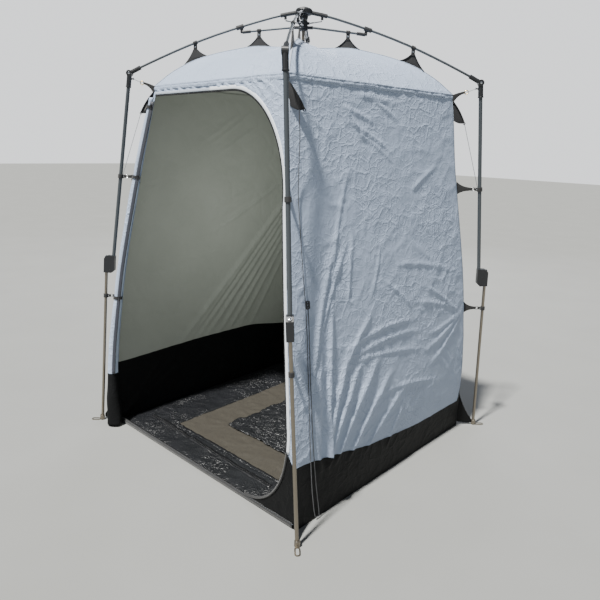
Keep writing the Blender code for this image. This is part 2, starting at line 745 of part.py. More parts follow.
HANGING_GUY_CORNER = "front_right"
GUY_GUSSET_TOP_Z = 1.770
GUY_GUSSET_BASE_Z = 1.662
GUY_GUSSET_WIDTH = 0.050
GUY_GUSSET_TIP = 0.006
GUY_GUSSET_SWING = math.radians(75)
GUY_CORD_RADIUS = 0.0014
GUY_CORD_START = (0.003, 0.004)
GUY_CORD_RISE = 0.006
TAPE_WIDTH = 0.022
TAPE = 0.0022
FIN = 0.0034
TAPE_BOTTOM_Z = 0.006
RING_WALL = 0.0035
RING_HEIGHT = 0.020
TAPE_BITE = 0.0008
TIE_HALF_HEIGHT = 0.034
TIE_NECK_REACH = 0.045
TIE_NECK_HALF = 0.010
TIE_END_HALF = 0.009
TIE_STOP = 0.001
EAVES_TIE_SEAM_Z = (1.789, 1.735)
EAVES_TIE_STRAP = ((0.772, 1.800), (0.806, 1.803), (0.838, 1.815),
                   (0.838, 1.820), (0.806, 1.813), (0.772, 1.812))
FOOT_TAIL_TOP_Z = 0.200
FOOT_TAIL_END_Z = (0.010, 0.026)
FOOT_TAIL_STOP = 0.006


def corner_tape(corner):
    """Angle-shaped tape over the vertical seam, a fit gap clear of the cloth."""
    sign_x, sign_y = CORNERS[corner]
    sections = []
    for z in [TAPE_BOTTOM_Z] + wall_heights(WALL_LEVELS, 0.0, WALL_TOP_Z)[1:]:
        half = cabin_half(z)
        near = half + FIT_GAP
        far = near + TAPE
        end = half - TAPE_WIDTH
        outline = [(near, near), (end, near), (end, far), (far, far), (far, end), (near, end)]
        sections.append([turned(sign_x * x, sign_y * y, z) for x, y in outline])
    return loft("corner_webbing_" + corner, sections, WEBBING)


def fin(name, corner, points, swing=0.0):
    """Flat triangle or strip on a corner, given as (reach, z) pairs. It stands in the corner's diagonal
    plane, or is swung about the corner's seam."""
    near = []
    far = []
    for reach, z in points:
        middle = radial_spot(corner, reach, z)
        direction = outward(corner, z)
        if swing:
            hinge = seam_reach(z)
            direction = Matrix.Rotation(swing, 3, "Z") @ direction
            middle = radial_spot(corner, hinge, z) + direction * (reach - hinge)
        across = UP.cross(direction) * (FIN / 2)
        near.append(middle - across)
        far.append(middle + across)
    return loft(name, [near, far], WEBBING)


def seam_reach(z):
    """Distance from the mast to a point just inside the tape, on the straight run between wall levels."""
    heights = wall_heights(WALL_LEVELS, 0.0, WALL_TOP_Z)
    below = max(height for height in heights if height <= z)
    above = min(height for height in heights if height > z)
    share = (z - below) / (above - below)
    half = cabin_half(below) + (cabin_half(above) - cabin_half(below)) * share
    return math.sqrt(2) * (half + FIT_GAP) + TAPE_BITE


def seam_run(top, bottom):
    """Points down the corner's tape from one height to another, as (reach, z) pairs."""
    between_levels = [z for z in wall_heights(WALL_LEVELS, 0.0, WALL_TOP_Z) if bottom < z < top]
    return [(seam_reach(z), z) for z in [top] + list(reversed(between_levels)) + [bottom]]


def leg_ring(name, corner, line, z, tube_radius):
    """Collar of webbing round a leg tube."""
    middle = on_line(line, z)
    along = (line[1] - line[0]).normalized()
    if along.z < 0:
        along = -along
    outer = tube_radius + BORE_SLACK + RING_WALL
    collar = tube(name, [middle - along * RING_HEIGHT / 2, middle + along * RING_HEIGHT / 2], outer, WEBBING,
                  sideways=outward(corner, z))
    bore = tube(name + "_bore", [middle - along * RING_HEIGHT, middle + along * RING_HEIGHT],
                tube_radius + BORE_SLACK, WEBBING, sideways=outward(corner, z))
    return collar, bore


def line_reach(line, z):
    spot = on_line(line, z)
    return math.hypot(spot.x, spot.y)


def make_leg_tie(corner, label, line, z, tube_radius):
    """Strap from the corner's tape to a collar round a leg tube: both pieces, and the collar's bore."""
    neck = seam_reach(z) + TIE_NECK_REACH
    end = line_reach(line, z) - tube_radius - TIE_STOP
    strap = fin(label + "_" + corner, corner, (
        *seam_run(z + TIE_HALF_HEIGHT, z - TIE_HALF_HEIGHT), (neck, z - TIE_NECK_HALF),
        (end, z - TIE_END_HALF), (end, z + TIE_END_HALF), (neck, z + TIE_NECK_HALF)))
    collar, bore = leg_ring(label + "_ring_" + corner, corner, line, z, tube_radius)
    return [strap, collar], bore


def make_guy_cord(corner, tip_reach):
    """Short taut cord from the guy gusset's tip to the upper tie's collar."""
    upper = upper_leg_line(corner)
    end_z = UPPER_TIE_Z + GUY_CORD_RISE
    end = radial_spot(corner, line_reach(upper, end_z) - UPPER_LEG_RADIUS - TIE_STOP, end_z)
    back, rise = GUY_CORD_START
    start = radial_spot(corner, tip_reach - back, GUY_GUSSET_BASE_Z + rise)
    return tube("guy_cord_" + corner, [start, end], GUY_CORD_RADIUS, WEBBING, sides=6)


def make_corner_webbing(corner):
    webbing = corner_tape(corner)
    upper = upper_leg_line(corner)
    lower = lower_leg_line(corner)
    upper_tie, upper_bore = make_leg_tie(corner, "upper_tie", upper, UPPER_TIE_Z, UPPER_LEG_RADIUS)
    lower_tie, lower_bore = make_leg_tie(corner, "lower_tie", lower, LOWER_TIE_Z, LOWER_LEG_RADIUS)
    pieces = upper_tie + lower_tie
    hanging = corner == HANGING_GUY_CORNER
    tip_reach = seam_reach(GUY_GUSSET_BASE_Z) + GUY_GUSSET_WIDTH
    pieces.append(fin("guy_gusset_" + corner, corner, (
        *seam_run(GUY_GUSSET_TOP_Z, GUY_GUSSET_BASE_Z),
        (tip_reach - GUY_GUSSET_TIP, GUY_GUSSET_BASE_Z), (tip_reach, GUY_GUSSET_BASE_Z + GUY_GUSSET_TIP),
    ), swing=GUY_GUSSET_SWING if hanging else 0.0))
    if not hanging:
        pieces.append(make_guy_cord(corner, tip_reach))
    pieces.append(fin("eaves_tie_" + corner, corner, (*seam_run(*EAVES_TIE_SEAM_Z), *EAVES_TIE_STRAP)))
    tail_reach = line_reach(lower, FOOT_TAIL_END_Z[1]) - LOWER_LEG_RADIUS - FOOT_TAIL_STOP
    pieces.append(fin("foot_tail_" + corner, corner, (
        *seam_run(FOOT_TAIL_TOP_Z, TAPE_BOTTOM_Z), *((tail_reach, z) for z in FOOT_TAIL_END_Z))))
    unite(webbing, *pieces)
    cut(webbing, upper_bore, lower_bore)


# Roof ties: seam tape over each roof ridge with two gussets hung from the stretcher and the pole

INNER_TIE_HALF = 0.152
OUTER_TIE_HALF = 0.374
TAPE_END_HALF = 0.505
GUSSET_HALF = 0.040
GUSSET_BITE = 0.0015
NECK_HALF = 0.008
NECK_DROP = 0.030
STRAP_HALF = 0.0085
STRAP_SINK = 0.0015
CLIP_HALF = 0.010
CLIP_WALL = 0.0035
CLIP_BORE_HALF = 0.050
POLE_SLOPE_STEP = 0.020


def ridge_spot(corner, half):
    """Point of the roof's ridge, on the straight run between the rings that it lies between."""
    sign_x, sign_y = CORNERS[corner]
    below = max(ring for ring in ROOF_RINGS if ring <= half)
    above = min(ring for ring in ROOF_RINGS if ring >= half)
    ends = [turned(sign_x * ring, sign_y * ring, roof_height(ring, ring)) for ring in (below, above)]
    if above == below:
        return ends[0]
    return between(ends[0], ends[1], (half - below) / (above - below))


def strap_end(spot, radius):
    """Reach and height of a strap's corner just under a tube of this radius."""
    return math.hypot(spot.x, spot.y), spot.z - radius - STRAP_SINK


def stretcher_spot(corner, reach):
    """Point of the stretcher's axis at this reach, its direction there, and the clip's bore path."""
    start, end = stretcher_line(corner)
    spot = between(start, end, (reach - STRETCHER_START[0]) / (STRETCHER_END[0] - STRETCHER_START[0]))
    along = (end - start).normalized()
    return spot, along, [spot - along * CLIP_BORE_HALF, spot + along * CLIP_BORE_HALF]


def pole_spot(corner, reach):
    """Point of the roof pole's axis at this reach, its direction there, and the clip's bore path."""
    before, spot, after = pole_run(corner, reach - POLE_SLOPE_STEP, reach + POLE_SLOPE_STEP, 3)
    return spot, (after - before).normalized(), pole_points(corner)


def gusset_base(corner, half):
    """Points of the ridge under a gusset, with the roof rings that lie between its ends."""
    rings = {ring for ring in ROOF_RINGS if abs(ring - half) < GUSSET_HALF}
    spots = [ridge_spot(corner, ring) for ring in sorted(rings | {half - GUSSET_HALF, half + GUSSET_HALF})]
    return [(math.hypot(spot.x, spot.y), spot.z + GUSSET_BITE) for spot in spots]


def make_roof_tie(corner):
    sections = []
    for half in ROOF_RINGS[1:-1] + (TAPE_END_HALF,):
        spot = ridge_spot(corner, half)
        across = UP.cross(outward(corner, spot.z)) * (TAPE_WIDTH / 2)
        base = spot + UP * FIT_GAP
        top = base + UP * TAPE
        sections.append([base - across, base + across, top + across, top - across])
    tie = loft("roof_tie_" + corner, sections, WEBBING)
    pieces = []
    bores = []
    for label, half, radius, carrier in (
        ("inner", INNER_TIE_HALF, STRETCHER_RADIUS, stretcher_spot),
        ("outer", OUTER_TIE_HALF, ROOF_POLE_RADIUS, pole_spot),
    ):
        reach = math.sqrt(2) * half
        top, along, bore_path = carrier(corner, reach)
        neck_z = top.z - NECK_DROP
        pieces.append(fin(label + "_gusset_" + corner, corner, (
            *gusset_base(corner, half), (reach + NECK_HALF, neck_z),
            strap_end(top + along * STRAP_HALF, radius), strap_end(top - along * STRAP_HALF, radius),
            (reach - NECK_HALF, neck_z))))
        pieces.append(tube(label + "_clip_" + corner, [top - along * CLIP_HALF, top + along * CLIP_HALF],
                           radius + BORE_SLACK + CLIP_WALL, WEBBING, sides=POLE_SIDES))
        bores.append(tube(label + "_clip_bore_" + corner, bore_path, radius + BORE_SLACK, WEBBING,
                          sides=POLE_SIDES))
    unite(tie, *pieces)
    cut(tie, *bores)


# Rolled door, tied back at the front left corner

ROLL_BOTTOM_Z = 0.010
ROLL_TOP_Z = 1.735
ROLL_RADIUS = ((0.010, 0.044), (0.16, 0.040), (0.30, 0.032), (0.71, 0.024), (1.34, 0.021), (1.735, 0.015))
ROLL_SIDE = ((0.010, 0.040), (0.16, 0.034), (0.30, 0.026), (0.71, 0.020), (1.34, 0.022), (1.735, 0.024))


def make_rolled_door():
    """Tapered roll that stands in front of the corner's tape: its radius and its distance in from the
    corner are read at each height."""
    path = []
    radii = []
    for z in (ROLL_BOTTOM_Z, *wall_heights(WALL_LEVELS, 0.0, WALL_TOP_Z)[1:-1], ROLL_TOP_Z):
        radius = interpolate(ROLL_RADIUS, z)
        half = cabin_half(z)
        path.append(turned(-half + interpolate(ROLL_SIDE, z), -half - radius - TAPE - 3 * FIT_GAP, z))
        radii.append(radius)
    tube("rolled_door", path, radii, GREY_CLOTH)


# Guyline that hangs from the front right gusset and is doubled through its slider. Its route's rows
# are height, distance along the right wall from the corner, and distance off that wall.

CORD_RADIUS = 0.00175
CORD_POINTS = 78
CORD_CLEAR = 0.0045
CURVE_STEPS = 20
GUYLINE_ROUTE = (
    (1.6617, 0.0208, 0.0360),
    (1.640, 0.0212, 0.0358),
    (1.560, 0.0290, 0.0310),
    (1.460, 0.0350, 0.0180),
    (1.340, 0.0440, CORD_CLEAR),
    (1.200, 0.0540, CORD_CLEAR),
    (1.050, 0.0660, CORD_CLEAR),
    (0.940, 0.0760, CORD_CLEAR),
    (0.840, 0.0820, CORD_CLEAR),
    (0.680, 0.0850, CORD_CLEAR),
    (0.500, 0.0880, CORD_CLEAR),
    (0.350, 0.0900, CORD_CLEAR),
    (0.180, 0.0950, CORD_CLEAR),
    (0.060, 0.1040, 0.0060),
    (0.014, 0.1110, 0.0090),
    (0.003, 0.1230, 0.0110),
    (0.014, 0.1350, 0.0090),
    (0.060, 0.1330, 0.0060),
    (0.180, 0.1200, CORD_CLEAR),
    (0.350, 0.1080, CORD_CLEAR),
    (0.500, 0.1020, CORD_CLEAR),
    (0.680, 0.0970, CORD_CLEAR),
    (0.840, 0.0940, CORD_CLEAR),
    (0.918, 0.0900, CORD_CLEAR),
)
SLIDER_Z = 0.936
SLIDER_SIZE = (0.022, 0.008, 0.034)
SLIDER_ALONG = 0.0830
SLIDER_CHAMFER = 0.005
SLIDER_LEAN_SPAN = 0.020


def beside_right_wall(z, along, off):
    half = cabin_half(z)
    return turned(half + off, -half + along, z)


def smooth_route(knots, count):
    """Evenly spaced points on a smooth curve through the knots."""
    dense = []
    for i in range(len(knots) - 1):
        a = knots[max(i - 1, 0)]
        b = knots[i]
        c = knots[i + 1]
        d = knots[min(i + 2, len(knots) - 1)]
        for k in range(CURVE_STEPS):
            t = k / CURVE_STEPS
            dense.append(0.5 * (2 * b + (c - a) * t + (2 * a - 5 * b + 4 * c - d) * t * t
                                + (3 * b - a - 3 * c + d) * t ** 3))
    dense.append(knots[-1])
    lengths = [0.0]
    for first, second in zip(dense, dense[1:]):
        lengths.append(lengths[-1] + (second - first).length)
    spaced = []
    i = 0
    for k in range(count):
        target = lengths[-1] * k / (count - 1)
        while i < len(dense) - 2 and lengths[i + 1] < target:
            i += 1
        share = (target - lengths[i]) / (lengths[i + 1] - lengths[i])
        spaced.append(between(dense[i], dense[i + 1], min(share, 1.0)))
    return spaced


def make_guyline():
    knots = [beside_right_wall(*row) for row in GUYLINE_ROUTE]
    curve = bpy.data.curves.new("guyline_front_right", "CURVE")
    curve.dimensions = "3D"
    curve.bevel_depth = CORD_RADIUS
    curve.bevel_resolution = 2
    curve.use_fill_caps = True
    spline = curve.splines.new("POLY")
    points = smooth_route(knots, CORD_POINTS)
    spline.points.add(len(points) - 1)
    for slot, point in zip(spline.points, points):
        slot.co = (*point, 1.0)
    curve.materials.append(material(WEBBING))
    cord = bpy.data.objects.new("guyline_front_right", curve)
    bpy.context.scene.collection.objects.link(cord)


def make_guyline_slider():
    """Flat three-hole slider; the cord runs down one side of it and ends at the other."""
    width, depth, height = SLIDER_SIZE
    middle = beside_right_wall(SLIDER_Z, SLIDER_ALONG, CORD_CLEAR + CORD_RADIUS + depth / 2 + FIT_GAP)
    half_width = width / 2
    half_height = height / 2
    short_width = half_width - SLIDER_CHAMFER
    short_height = half_height - SLIDER_CHAMFER
    outline = (
        (-half_width, -short_height), (-short_width, -half_height),
        (short_width, -half_height), (half_width, -short_height),
        (half_width, short_height), (short_width, half_height),
        (-short_width, half_height), (-half_width, short_height),
    )
    along_wall = turned(0, 1, SLIDER_Z) - on_axis(SLIDER_Z)
    above = beside_right_wall(SLIDER_Z + SLIDER_LEAN_SPAN, 0, 0)
    below = beside_right_wall(SLIDER_Z - SLIDER_LEAN_SPAN, 0, 0)
    block("guyline_slider", middle, along_wall, above - below, outline, depth, BLACK_PLASTIC)


def build():
    clear_scene()
    make_hub()
    make_mast()
    make_runner()
    for corner in CORNERS:
        make_crown_link(corner)
        make_stretcher(corner)
        make_roof_pole(corner)
        make_pole_bracket(corner)
        make_elbow(corner)
        make_upper_leg(corner)
        make_leg_lock(corner)
        make_lower_leg(corner)
        make_corner_webbing(corner)
        make_roof_tie(corner)
    make_front_wall()
    make_plain_walls()
    make_roof()
    make_groundsheet()
    make_rolled_door()
    make_guyline()
    make_guyline_slider()


build()
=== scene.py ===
# %% [markdown]
# # A pop-up toilet tent
#
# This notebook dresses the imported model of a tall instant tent: an umbrella hub and four telescoping
# legs carry a grey cloth cabin on straps. The frame comes first, because every piece of cloth hangs
# from it. All sizes are real ones in metres, +Z is up and the doorway faces -Y.

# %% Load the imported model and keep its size
import math

import bmesh
import bpy
from mathutils import Matrix, Vector, noise


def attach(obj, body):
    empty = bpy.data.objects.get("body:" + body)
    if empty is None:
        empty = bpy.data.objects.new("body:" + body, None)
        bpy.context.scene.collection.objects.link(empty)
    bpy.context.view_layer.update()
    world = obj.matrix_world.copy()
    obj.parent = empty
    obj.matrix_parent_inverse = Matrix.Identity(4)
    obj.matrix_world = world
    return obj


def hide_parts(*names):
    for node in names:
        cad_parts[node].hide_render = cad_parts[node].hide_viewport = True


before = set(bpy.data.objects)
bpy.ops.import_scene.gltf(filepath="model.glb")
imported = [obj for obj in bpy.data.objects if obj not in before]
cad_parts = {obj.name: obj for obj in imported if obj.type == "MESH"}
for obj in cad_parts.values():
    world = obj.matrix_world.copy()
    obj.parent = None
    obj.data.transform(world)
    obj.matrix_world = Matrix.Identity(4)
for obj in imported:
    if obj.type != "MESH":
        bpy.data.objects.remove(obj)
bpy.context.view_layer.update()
print("nodes in the packed model:", len(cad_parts))

# %% [markdown]
# ## The shape that everything shares
#
# The cabin is a square tube of cloth that narrows toward the eaves, and the pitched tent stands a
# little wrung: a level section at height z is turned about the mast by an angle that grows with z.
# One function for the half side and one for the turn give every seam, strap and leg its place, in the
# same numbers as the solids, so nothing has to be fitted afterwards.

# %% Level sections of the cabin, and points on its corners
TWIST_PER_METRE = -0.0600
CABIN_PROFILE = ((0.0, 0.685), (0.28, 0.690), (0.71, 0.665), (1.34, 0.587), (1.795, 0.520))
ROOF_RIDGE = ((0.0, 1.986), (0.15, 1.991), (0.25, 1.970), (0.36, 1.929), (0.45, 1.868), (0.52, 1.795))
EAVES_Z = 1.795
BAND_TOP_Z = 0.290
UP = Vector((0, 0, 1))
CORNERS = {
    "front_right": (1, -1),
    "back_right": (1, 1),
    "back_left": (-1, 1),
    "front_left": (-1, -1),
}


def interpolate(table, at):
    """Smooth curve through a short table: cubic pieces with slopes limited to keep its shape."""
    xs = [row[0] for row in table]
    ys = [row[1] for row in table]
    at = min(max(at, xs[0]), xs[-1])
    steps = [(ys[i + 1] - ys[i]) / (xs[i + 1] - xs[i]) for i in range(len(xs) - 1)]
    slopes = [steps[0]]
    for before, after in zip(steps, steps[1:]):
        alike = before * after > 0
        slopes.append(2 * before * after / (before + after) if alike else 0.0)
    slopes.append(steps[-1])
    i = max(k for k in range(len(steps)) if at >= xs[k])
    width = xs[i + 1] - xs[i]
    t = (at - xs[i]) / width
    start = ys[i] * (1 + 2 * t) * (1 - t) ** 2 + slopes[i] * width * t * (1 - t) ** 2
    end = ys[i + 1] * t * t * (3 - 2 * t) + slopes[i + 1] * width * t * t * (t - 1)
    return start + end


def cabin_half(z):
    return interpolate(CABIN_PROFILE, z)


def turned(x, y, z):
    """A point of the straight tent, turned about the mast as the pitched one is."""
    angle = TWIST_PER_METRE * z
    c = math.cos(angle)
    s = math.sin(angle)
    return Vector((c * x - s * y, s * x + c * y, z))


def corner_spot(corner, half, z):
    sign_x, sign_y = CORNERS[corner]
    return turned(sign_x * half, sign_y * half, z)


def outward(corner, z):
    """Unit vector from the mast's axis to this corner at height z."""
    spot = corner_spot(corner, 1.0, z)
    return Vector((spot.x, spot.y, 0.0)).normalized()


def radial_spot(corner, reach, z):
    return outward(corner, z) * reach + UP * z


def between(first, second, share):
    return first + (second - first) * share


def smooth_step(low, high, value):
    share = min(max((value - low) / (high - low), 0.0), 1.0)
    return share * share * (3 - 2 * share)


print("cabin side at the floor, belt and eaves:", [round(2 * cabin_half(z), 3) for z in (0, 0.71, 1.795)])

# %% [markdown]
# ## Camera
#
# The camera stands where the photograph was taken from: eye height, about three metres off the near
# corner. Its place was worked out once by matching the tent's corners. The light, set up further on, is
# that of a plain studio: an even pale surround, a high lamp in front, a large one behind and a faint one inside.

# %% Camera
CAMERA_PLACE = Vector((2.0437, -2.2150, 1.5423))
CAMERA_YAW = 0.7392
CAMERA_PITCH = -0.2618
CAMERA_ROLL = 0.0349
FOCAL_PIXELS = 577.63
PICTURE_MIDDLE = (297.89, 297.76)
PICTURE_SIDE = 600
SENSOR_MM = 36.0


def camera_axes():
    """Right, up and forward of the camera, from its yaw, pitch and roll."""
    forward = Vector((
        -math.sin(CAMERA_YAW) * math.cos(CAMERA_PITCH),
        math.cos(CAMERA_YAW) * math.cos(CAMERA_PITCH),
        math.sin(CAMERA_PITCH),
    ))
    level_right = Vector((math.cos(CAMERA_YAW), math.sin(CAMERA_YAW), 0.0))
    level_up = level_right.cross(forward)
    right = level_right * math.cos(CAMERA_ROLL) + level_up * math.sin(CAMERA_ROLL)
    return right, right.cross(forward), forward


right, up, forward = camera_axes()
lens = bpy.data.cameras.new("photo_camera")
lens.sensor_width = SENSOR_MM
lens.lens = FOCAL_PIXELS / PICTURE_SIDE * SENSOR_MM
lens.shift_x = (PICTURE_SIDE / 2 - PICTURE_MIDDLE[0]) / PICTURE_SIDE
lens.shift_y = (PICTURE_MIDDLE[1] - PICTURE_SIDE / 2) / PICTURE_SIDE
lens.clip_end = 100
camera = bpy.data.objects.new("photo_camera", lens)
bpy.context.scene.collection.objects.link(camera)
turn = Matrix((right, up, -forward)).transposed().to_4x4()
camera.matrix_world = Matrix.Translation(CAMERA_PLACE) @ turn
bpy.context.scene.camera = camera
print("lens in mm:", round(lens.lens, 2))

# %% [markdown]
# ## Materials
#
# Every colour is written as the hex value that a paint chart or a screen shows, and one function turns
# it into the linear value that the renderer adds up. One small function adds a node with its settings
# and its links, so each finish below reads as a list of what it is made of. Patterns are worked out in
# millimetres from the real stuff: threads, creases, ribs and grain.

# %% Colours and nodes
MM = 0.001


def hex_colour(code):
    """Linear red, green and blue with full alpha, from an sRGB hex code."""
    channels = [int(code[i:i + 2], 16) / 255 for i in (1, 3, 5)]
    linear = [c / 12.92 if c <= 0.04045 else ((c + 0.055) / 1.055) ** 2.4 for c in channels]
    return (*linear, 1.0)


def add_node(tree, kind, inputs=(), **settings):
    """Add a node with its settings. Inputs pairs a socket's name or number with a value or a link."""
    node = tree.nodes.new(kind)
    for name, value in settings.items():
        setattr(node, name, value)
    for socket, value in dict(inputs).items():
        if isinstance(value, bpy.types.NodeSocket):
            tree.links.new(value, node.inputs[socket])
        else:
            node.inputs[socket].default_value = value
    return node


def start_material(name, uniform):
    """New material with its shader's uniform values set on the shader's own sockets."""
    made = bpy.data.materials.new(name)
    made.use_nodes = True
    shader = made.node_tree.nodes["Principled BSDF"]
    for socket, value in uniform.items():
        shader.inputs[socket].default_value = value
    return made, made.node_tree, shader


# %% [markdown]
# ### Coated polyester cloth
#
# The cabin is thin polyester taffeta with a silvery polyurethane coat. Pressed into its bag for months,
# it keeps a net of fine sharp creases. Two sizes of crackle, bent by noise so that no cell looks
# regular, give that net as bump; a weave too fine for this distance is drawn at 1.6 mm. The same
# recipe in other colours makes the inner face, the black band and the groundsheet. The inner face's
# own grey-green is set lighter, as painted light for the daylight that comes through the thin cloth.

# %% Creased cloth
WEAVE_MM = 1.6


def creased_cloth(name, light, dark, roughness, crease_mm, crease_depth, weave_depth, gloss):
    """Coated woven cloth: two tones in soft patches, pressed-in creases of two sizes and a weave."""
    made, tree, shader = start_material(name, {"Roughness": roughness, "Specular IOR Level": gloss})
    place = add_node(tree, "ShaderNodeTexCoord")
    patches = add_node(tree, "ShaderNodeTexNoise", {"Vector": place.outputs["Object"], "Scale": 5.0, "Detail": 4.0})
    tone = add_node(tree, "ShaderNodeMix", {"Factor": patches.outputs["Fac"], 6: hex_colour(dark),
                                            7: hex_colour(light)}, data_type="RGBA")
    tree.links.new(tone.outputs[2], shader.inputs["Base Color"])
    bend = add_node(tree, "ShaderNodeTexNoise", {"Vector": place.outputs["Object"], "Scale": 9.0, "Detail": 2.0})
    pushed = add_node(tree, "ShaderNodeVectorMath", {0: bend.outputs["Color"], 1: (0.06, 0.06, 0.06)},
                      operation="MULTIPLY")
    bent = add_node(tree, "ShaderNodeVectorMath", {0: place.outputs["Object"], 1: pushed.outputs[0]},
                    operation="ADD")
    height = None
    for size_mm, share in ((crease_mm * 1.9, 1.0), (crease_mm, 0.8), (crease_mm * 0.5, 0.45)):
        cells = add_node(tree, "ShaderNodeTexVoronoi", {"Vector": bent.outputs[0], "Scale": 1 / (size_mm * MM)},
                         feature="DISTANCE_TO_EDGE")
        ridge = add_node(tree, "ShaderNodeMapRange", {"Value": cells.outputs["Distance"], 1: 0.0, 2: 0.11,
                                                      3: share, 4: 0.0}, interpolation_type="SMOOTHSTEP")
        if height is None:
            height = ridge.outputs[0]
        else:
            both = add_node(tree, "ShaderNodeMath", {0: height, 1: ridge.outputs[0]}, operation="ADD")
            height = both.outputs[0]
    mask = add_node(tree, "ShaderNodeTexNoise", {"Vector": place.outputs["Object"], "Scale": 3.0, "Detail": 2.0})
    shown = add_node(tree, "ShaderNodeMapRange", {"Value": mask.outputs["Fac"], 1: 0.35, 2: 0.65, 3: 0.15,
                                                  4: 1.0})
    faded = add_node(tree, "ShaderNodeMath", {0: height, 1: shown.outputs[0]}, operation="MULTIPLY")
    creases = add_node(tree, "ShaderNodeBump", {"Height": faded.outputs[0], "Distance": crease_depth * MM,
                                                "Strength": 1.0})
    flat = add_node(tree, "ShaderNodeUVMap")
    threads = []
    for turn_deg in (0.0, 90.0):
        laid = add_node(tree, "ShaderNodeMapping", {"Vector": flat.outputs["UV"],
                                                    "Rotation": (0, 0, math.radians(turn_deg))})
        wave = add_node(tree, "ShaderNodeTexWave", {"Vector": laid.outputs[0],
                                                    "Scale": 0.314 / (WEAVE_MM * MM)})
        threads.append(wave.outputs["Fac"])
    weave = add_node(tree, "ShaderNodeMath", {0: threads[0], 1: threads[1]}, operation="MULTIPLY")
    woven = add_node(tree, "ShaderNodeBump", {"Height": weave.outputs[0], "Distance": weave_depth * MM,
                                              "Strength": 0.5, "Normal": creases.outputs[0]})
    tree.links.new(woven.outputs[0], shader.inputs["Normal"])
    return made


SILVER_TAFFETA = creased_cloth("silver_coated_taffeta", "#a6b4ca", "#9aa8be", 0.50, 38, 1.6, 0.10, 0.35)
# Painted light: the inner face is its own grey-green set lighter, to stand for the daylight that shines through the
# thin cloth.
INNER_TAFFETA_PAINTED_DAYLIGHT = creased_cloth("grey_green_taffeta_back_painted_daylight", "#8e928c", "#838781", 0.70, 60, 0.5, 0.10, 0.25)
BLACK_TAFFETA = creased_cloth("black_coated_taffeta", "#0b0c0e", "#070809", 0.60, 40, 1.0, 0.10, 0.18)
GROUND_CLOTH = creased_cloth("black_polyethylene_ground_cloth", "#1f2023", "#121315", 0.32, 26, 2.6, 0.12, 0.45)
print("cloth materials:", [m.name for m in (SILVER_TAFFETA, INNER_TAFFETA_PAINTED_DAYLIGHT, BLACK_TAFFETA, GROUND_CLOTH)])

# %% [markdown]
# ### Net, webbing and thread
#
# The panel in the floor and the corner gussets are knitted polyester net, which reads as a speckle of
# threads and holes. Webbing is ribbed across, one rib to 1.6 mm. Sewing thread is a plain matt yarn.

# %% Net, webbing and thread


def speckled(name, light, dark, cell_mm, roughness, depth_mm):
    """Two tones in a fine even net of cells, raised as much as depth says."""
    made, tree, shader = start_material(name, {"Roughness": roughness})
    place = add_node(tree, "ShaderNodeTexCoord")
    cells = add_node(tree, "ShaderNodeTexVoronoi", {"Vector": place.outputs["Object"],
                                                    "Scale": 1 / (cell_mm * MM)})
    tone = add_node(tree, "ShaderNodeMix", {"Factor": cells.outputs["Distance"], 6: hex_colour(light),
                                            7: hex_colour(dark)}, data_type="RGBA")
    tree.links.new(tone.outputs[2], shader.inputs["Base Color"])
    bump = add_node(tree, "ShaderNodeBump", {"Height": cells.outputs["Distance"], "Distance": depth_mm * MM,
                                             "Strength": 0.6})
    tree.links.new(bump.outputs[0], shader.inputs["Normal"])
    return made


def ribbed(name, light, dark, rib_mm, roughness, depth_mm):
    """Ribs across the length of a strap, read from the strap's own map."""
    made, tree, shader = start_material(name, {"Roughness": roughness, "Sheen Weight": 0.2})
    flat = add_node(tree, "ShaderNodeUVMap")
    ribs = add_node(tree, "ShaderNodeTexWave", {"Vector": flat.outputs["UV"], "Scale": 0.314 / (rib_mm * MM),
                                                "Distortion": 0.4}, bands_direction="Y")
    tone = add_node(tree, "ShaderNodeMix", {"Factor": ribs.outputs["Fac"], 6: hex_colour(dark),
                                            7: hex_colour(light)}, data_type="RGBA")
    tree.links.new(tone.outputs[2], shader.inputs["Base Color"])
    bump = add_node(tree, "ShaderNodeBump", {"Height": ribs.outputs["Fac"], "Distance": depth_mm * MM,
                                             "Strength": 0.7})
    tree.links.new(bump.outputs[0], shader.inputs["Normal"])
    return made


FLOOR_NET = speckled("taupe_floor_net", "#3c382f", "#171512", 3.0, 0.75, 0.8)
GUSSET_NET = speckled("black_knitted_net", "#202124", "#0a0a0b", 1.5, 0.65, 0.4)
WEBBING = ribbed("black_polypropylene_webbing", "#1b1c1e", "#0b0b0c", 1.6, 0.75, 0.3)
BINDING = ribbed("white_grosgrain_binding", "#dfe4ea", "#cdd4dd", 1.2, 0.60, 0.2)
GREY_TAPE = ribbed("grey_grosgrain_tape", "#a9b2bf", "#99a3b0", 1.2, 0.60, 0.2)
GREY_THREAD = speckled("grey_polyester_thread", "#8e97a4", "#737c88", 0.8, 0.70, 0.1)
NAVY_TAPE = ribbed("dark_navy_zip_tape", "#262b38", "#1a1e29", 1.2, 0.60, 0.2)
ZIP_COIL = speckled("black_nylon_zip_coil", "#191a1d", "#0d0d0f", 2.0, 0.40, 0.1)

# %% [markdown]
# ### Metal and moulded plastic
#
# The upper leg tubes, stretchers and poles are thin steel under a dark grey powder coat with a faint
# orange-peel surface. The lower tubes are bare steel with a satin draw grain along them. Fittings are
# injection-moulded nylon, which has a soft spark-eroded grain. Buttons, rings and rivets are chromed.

# %% Metal and plastic


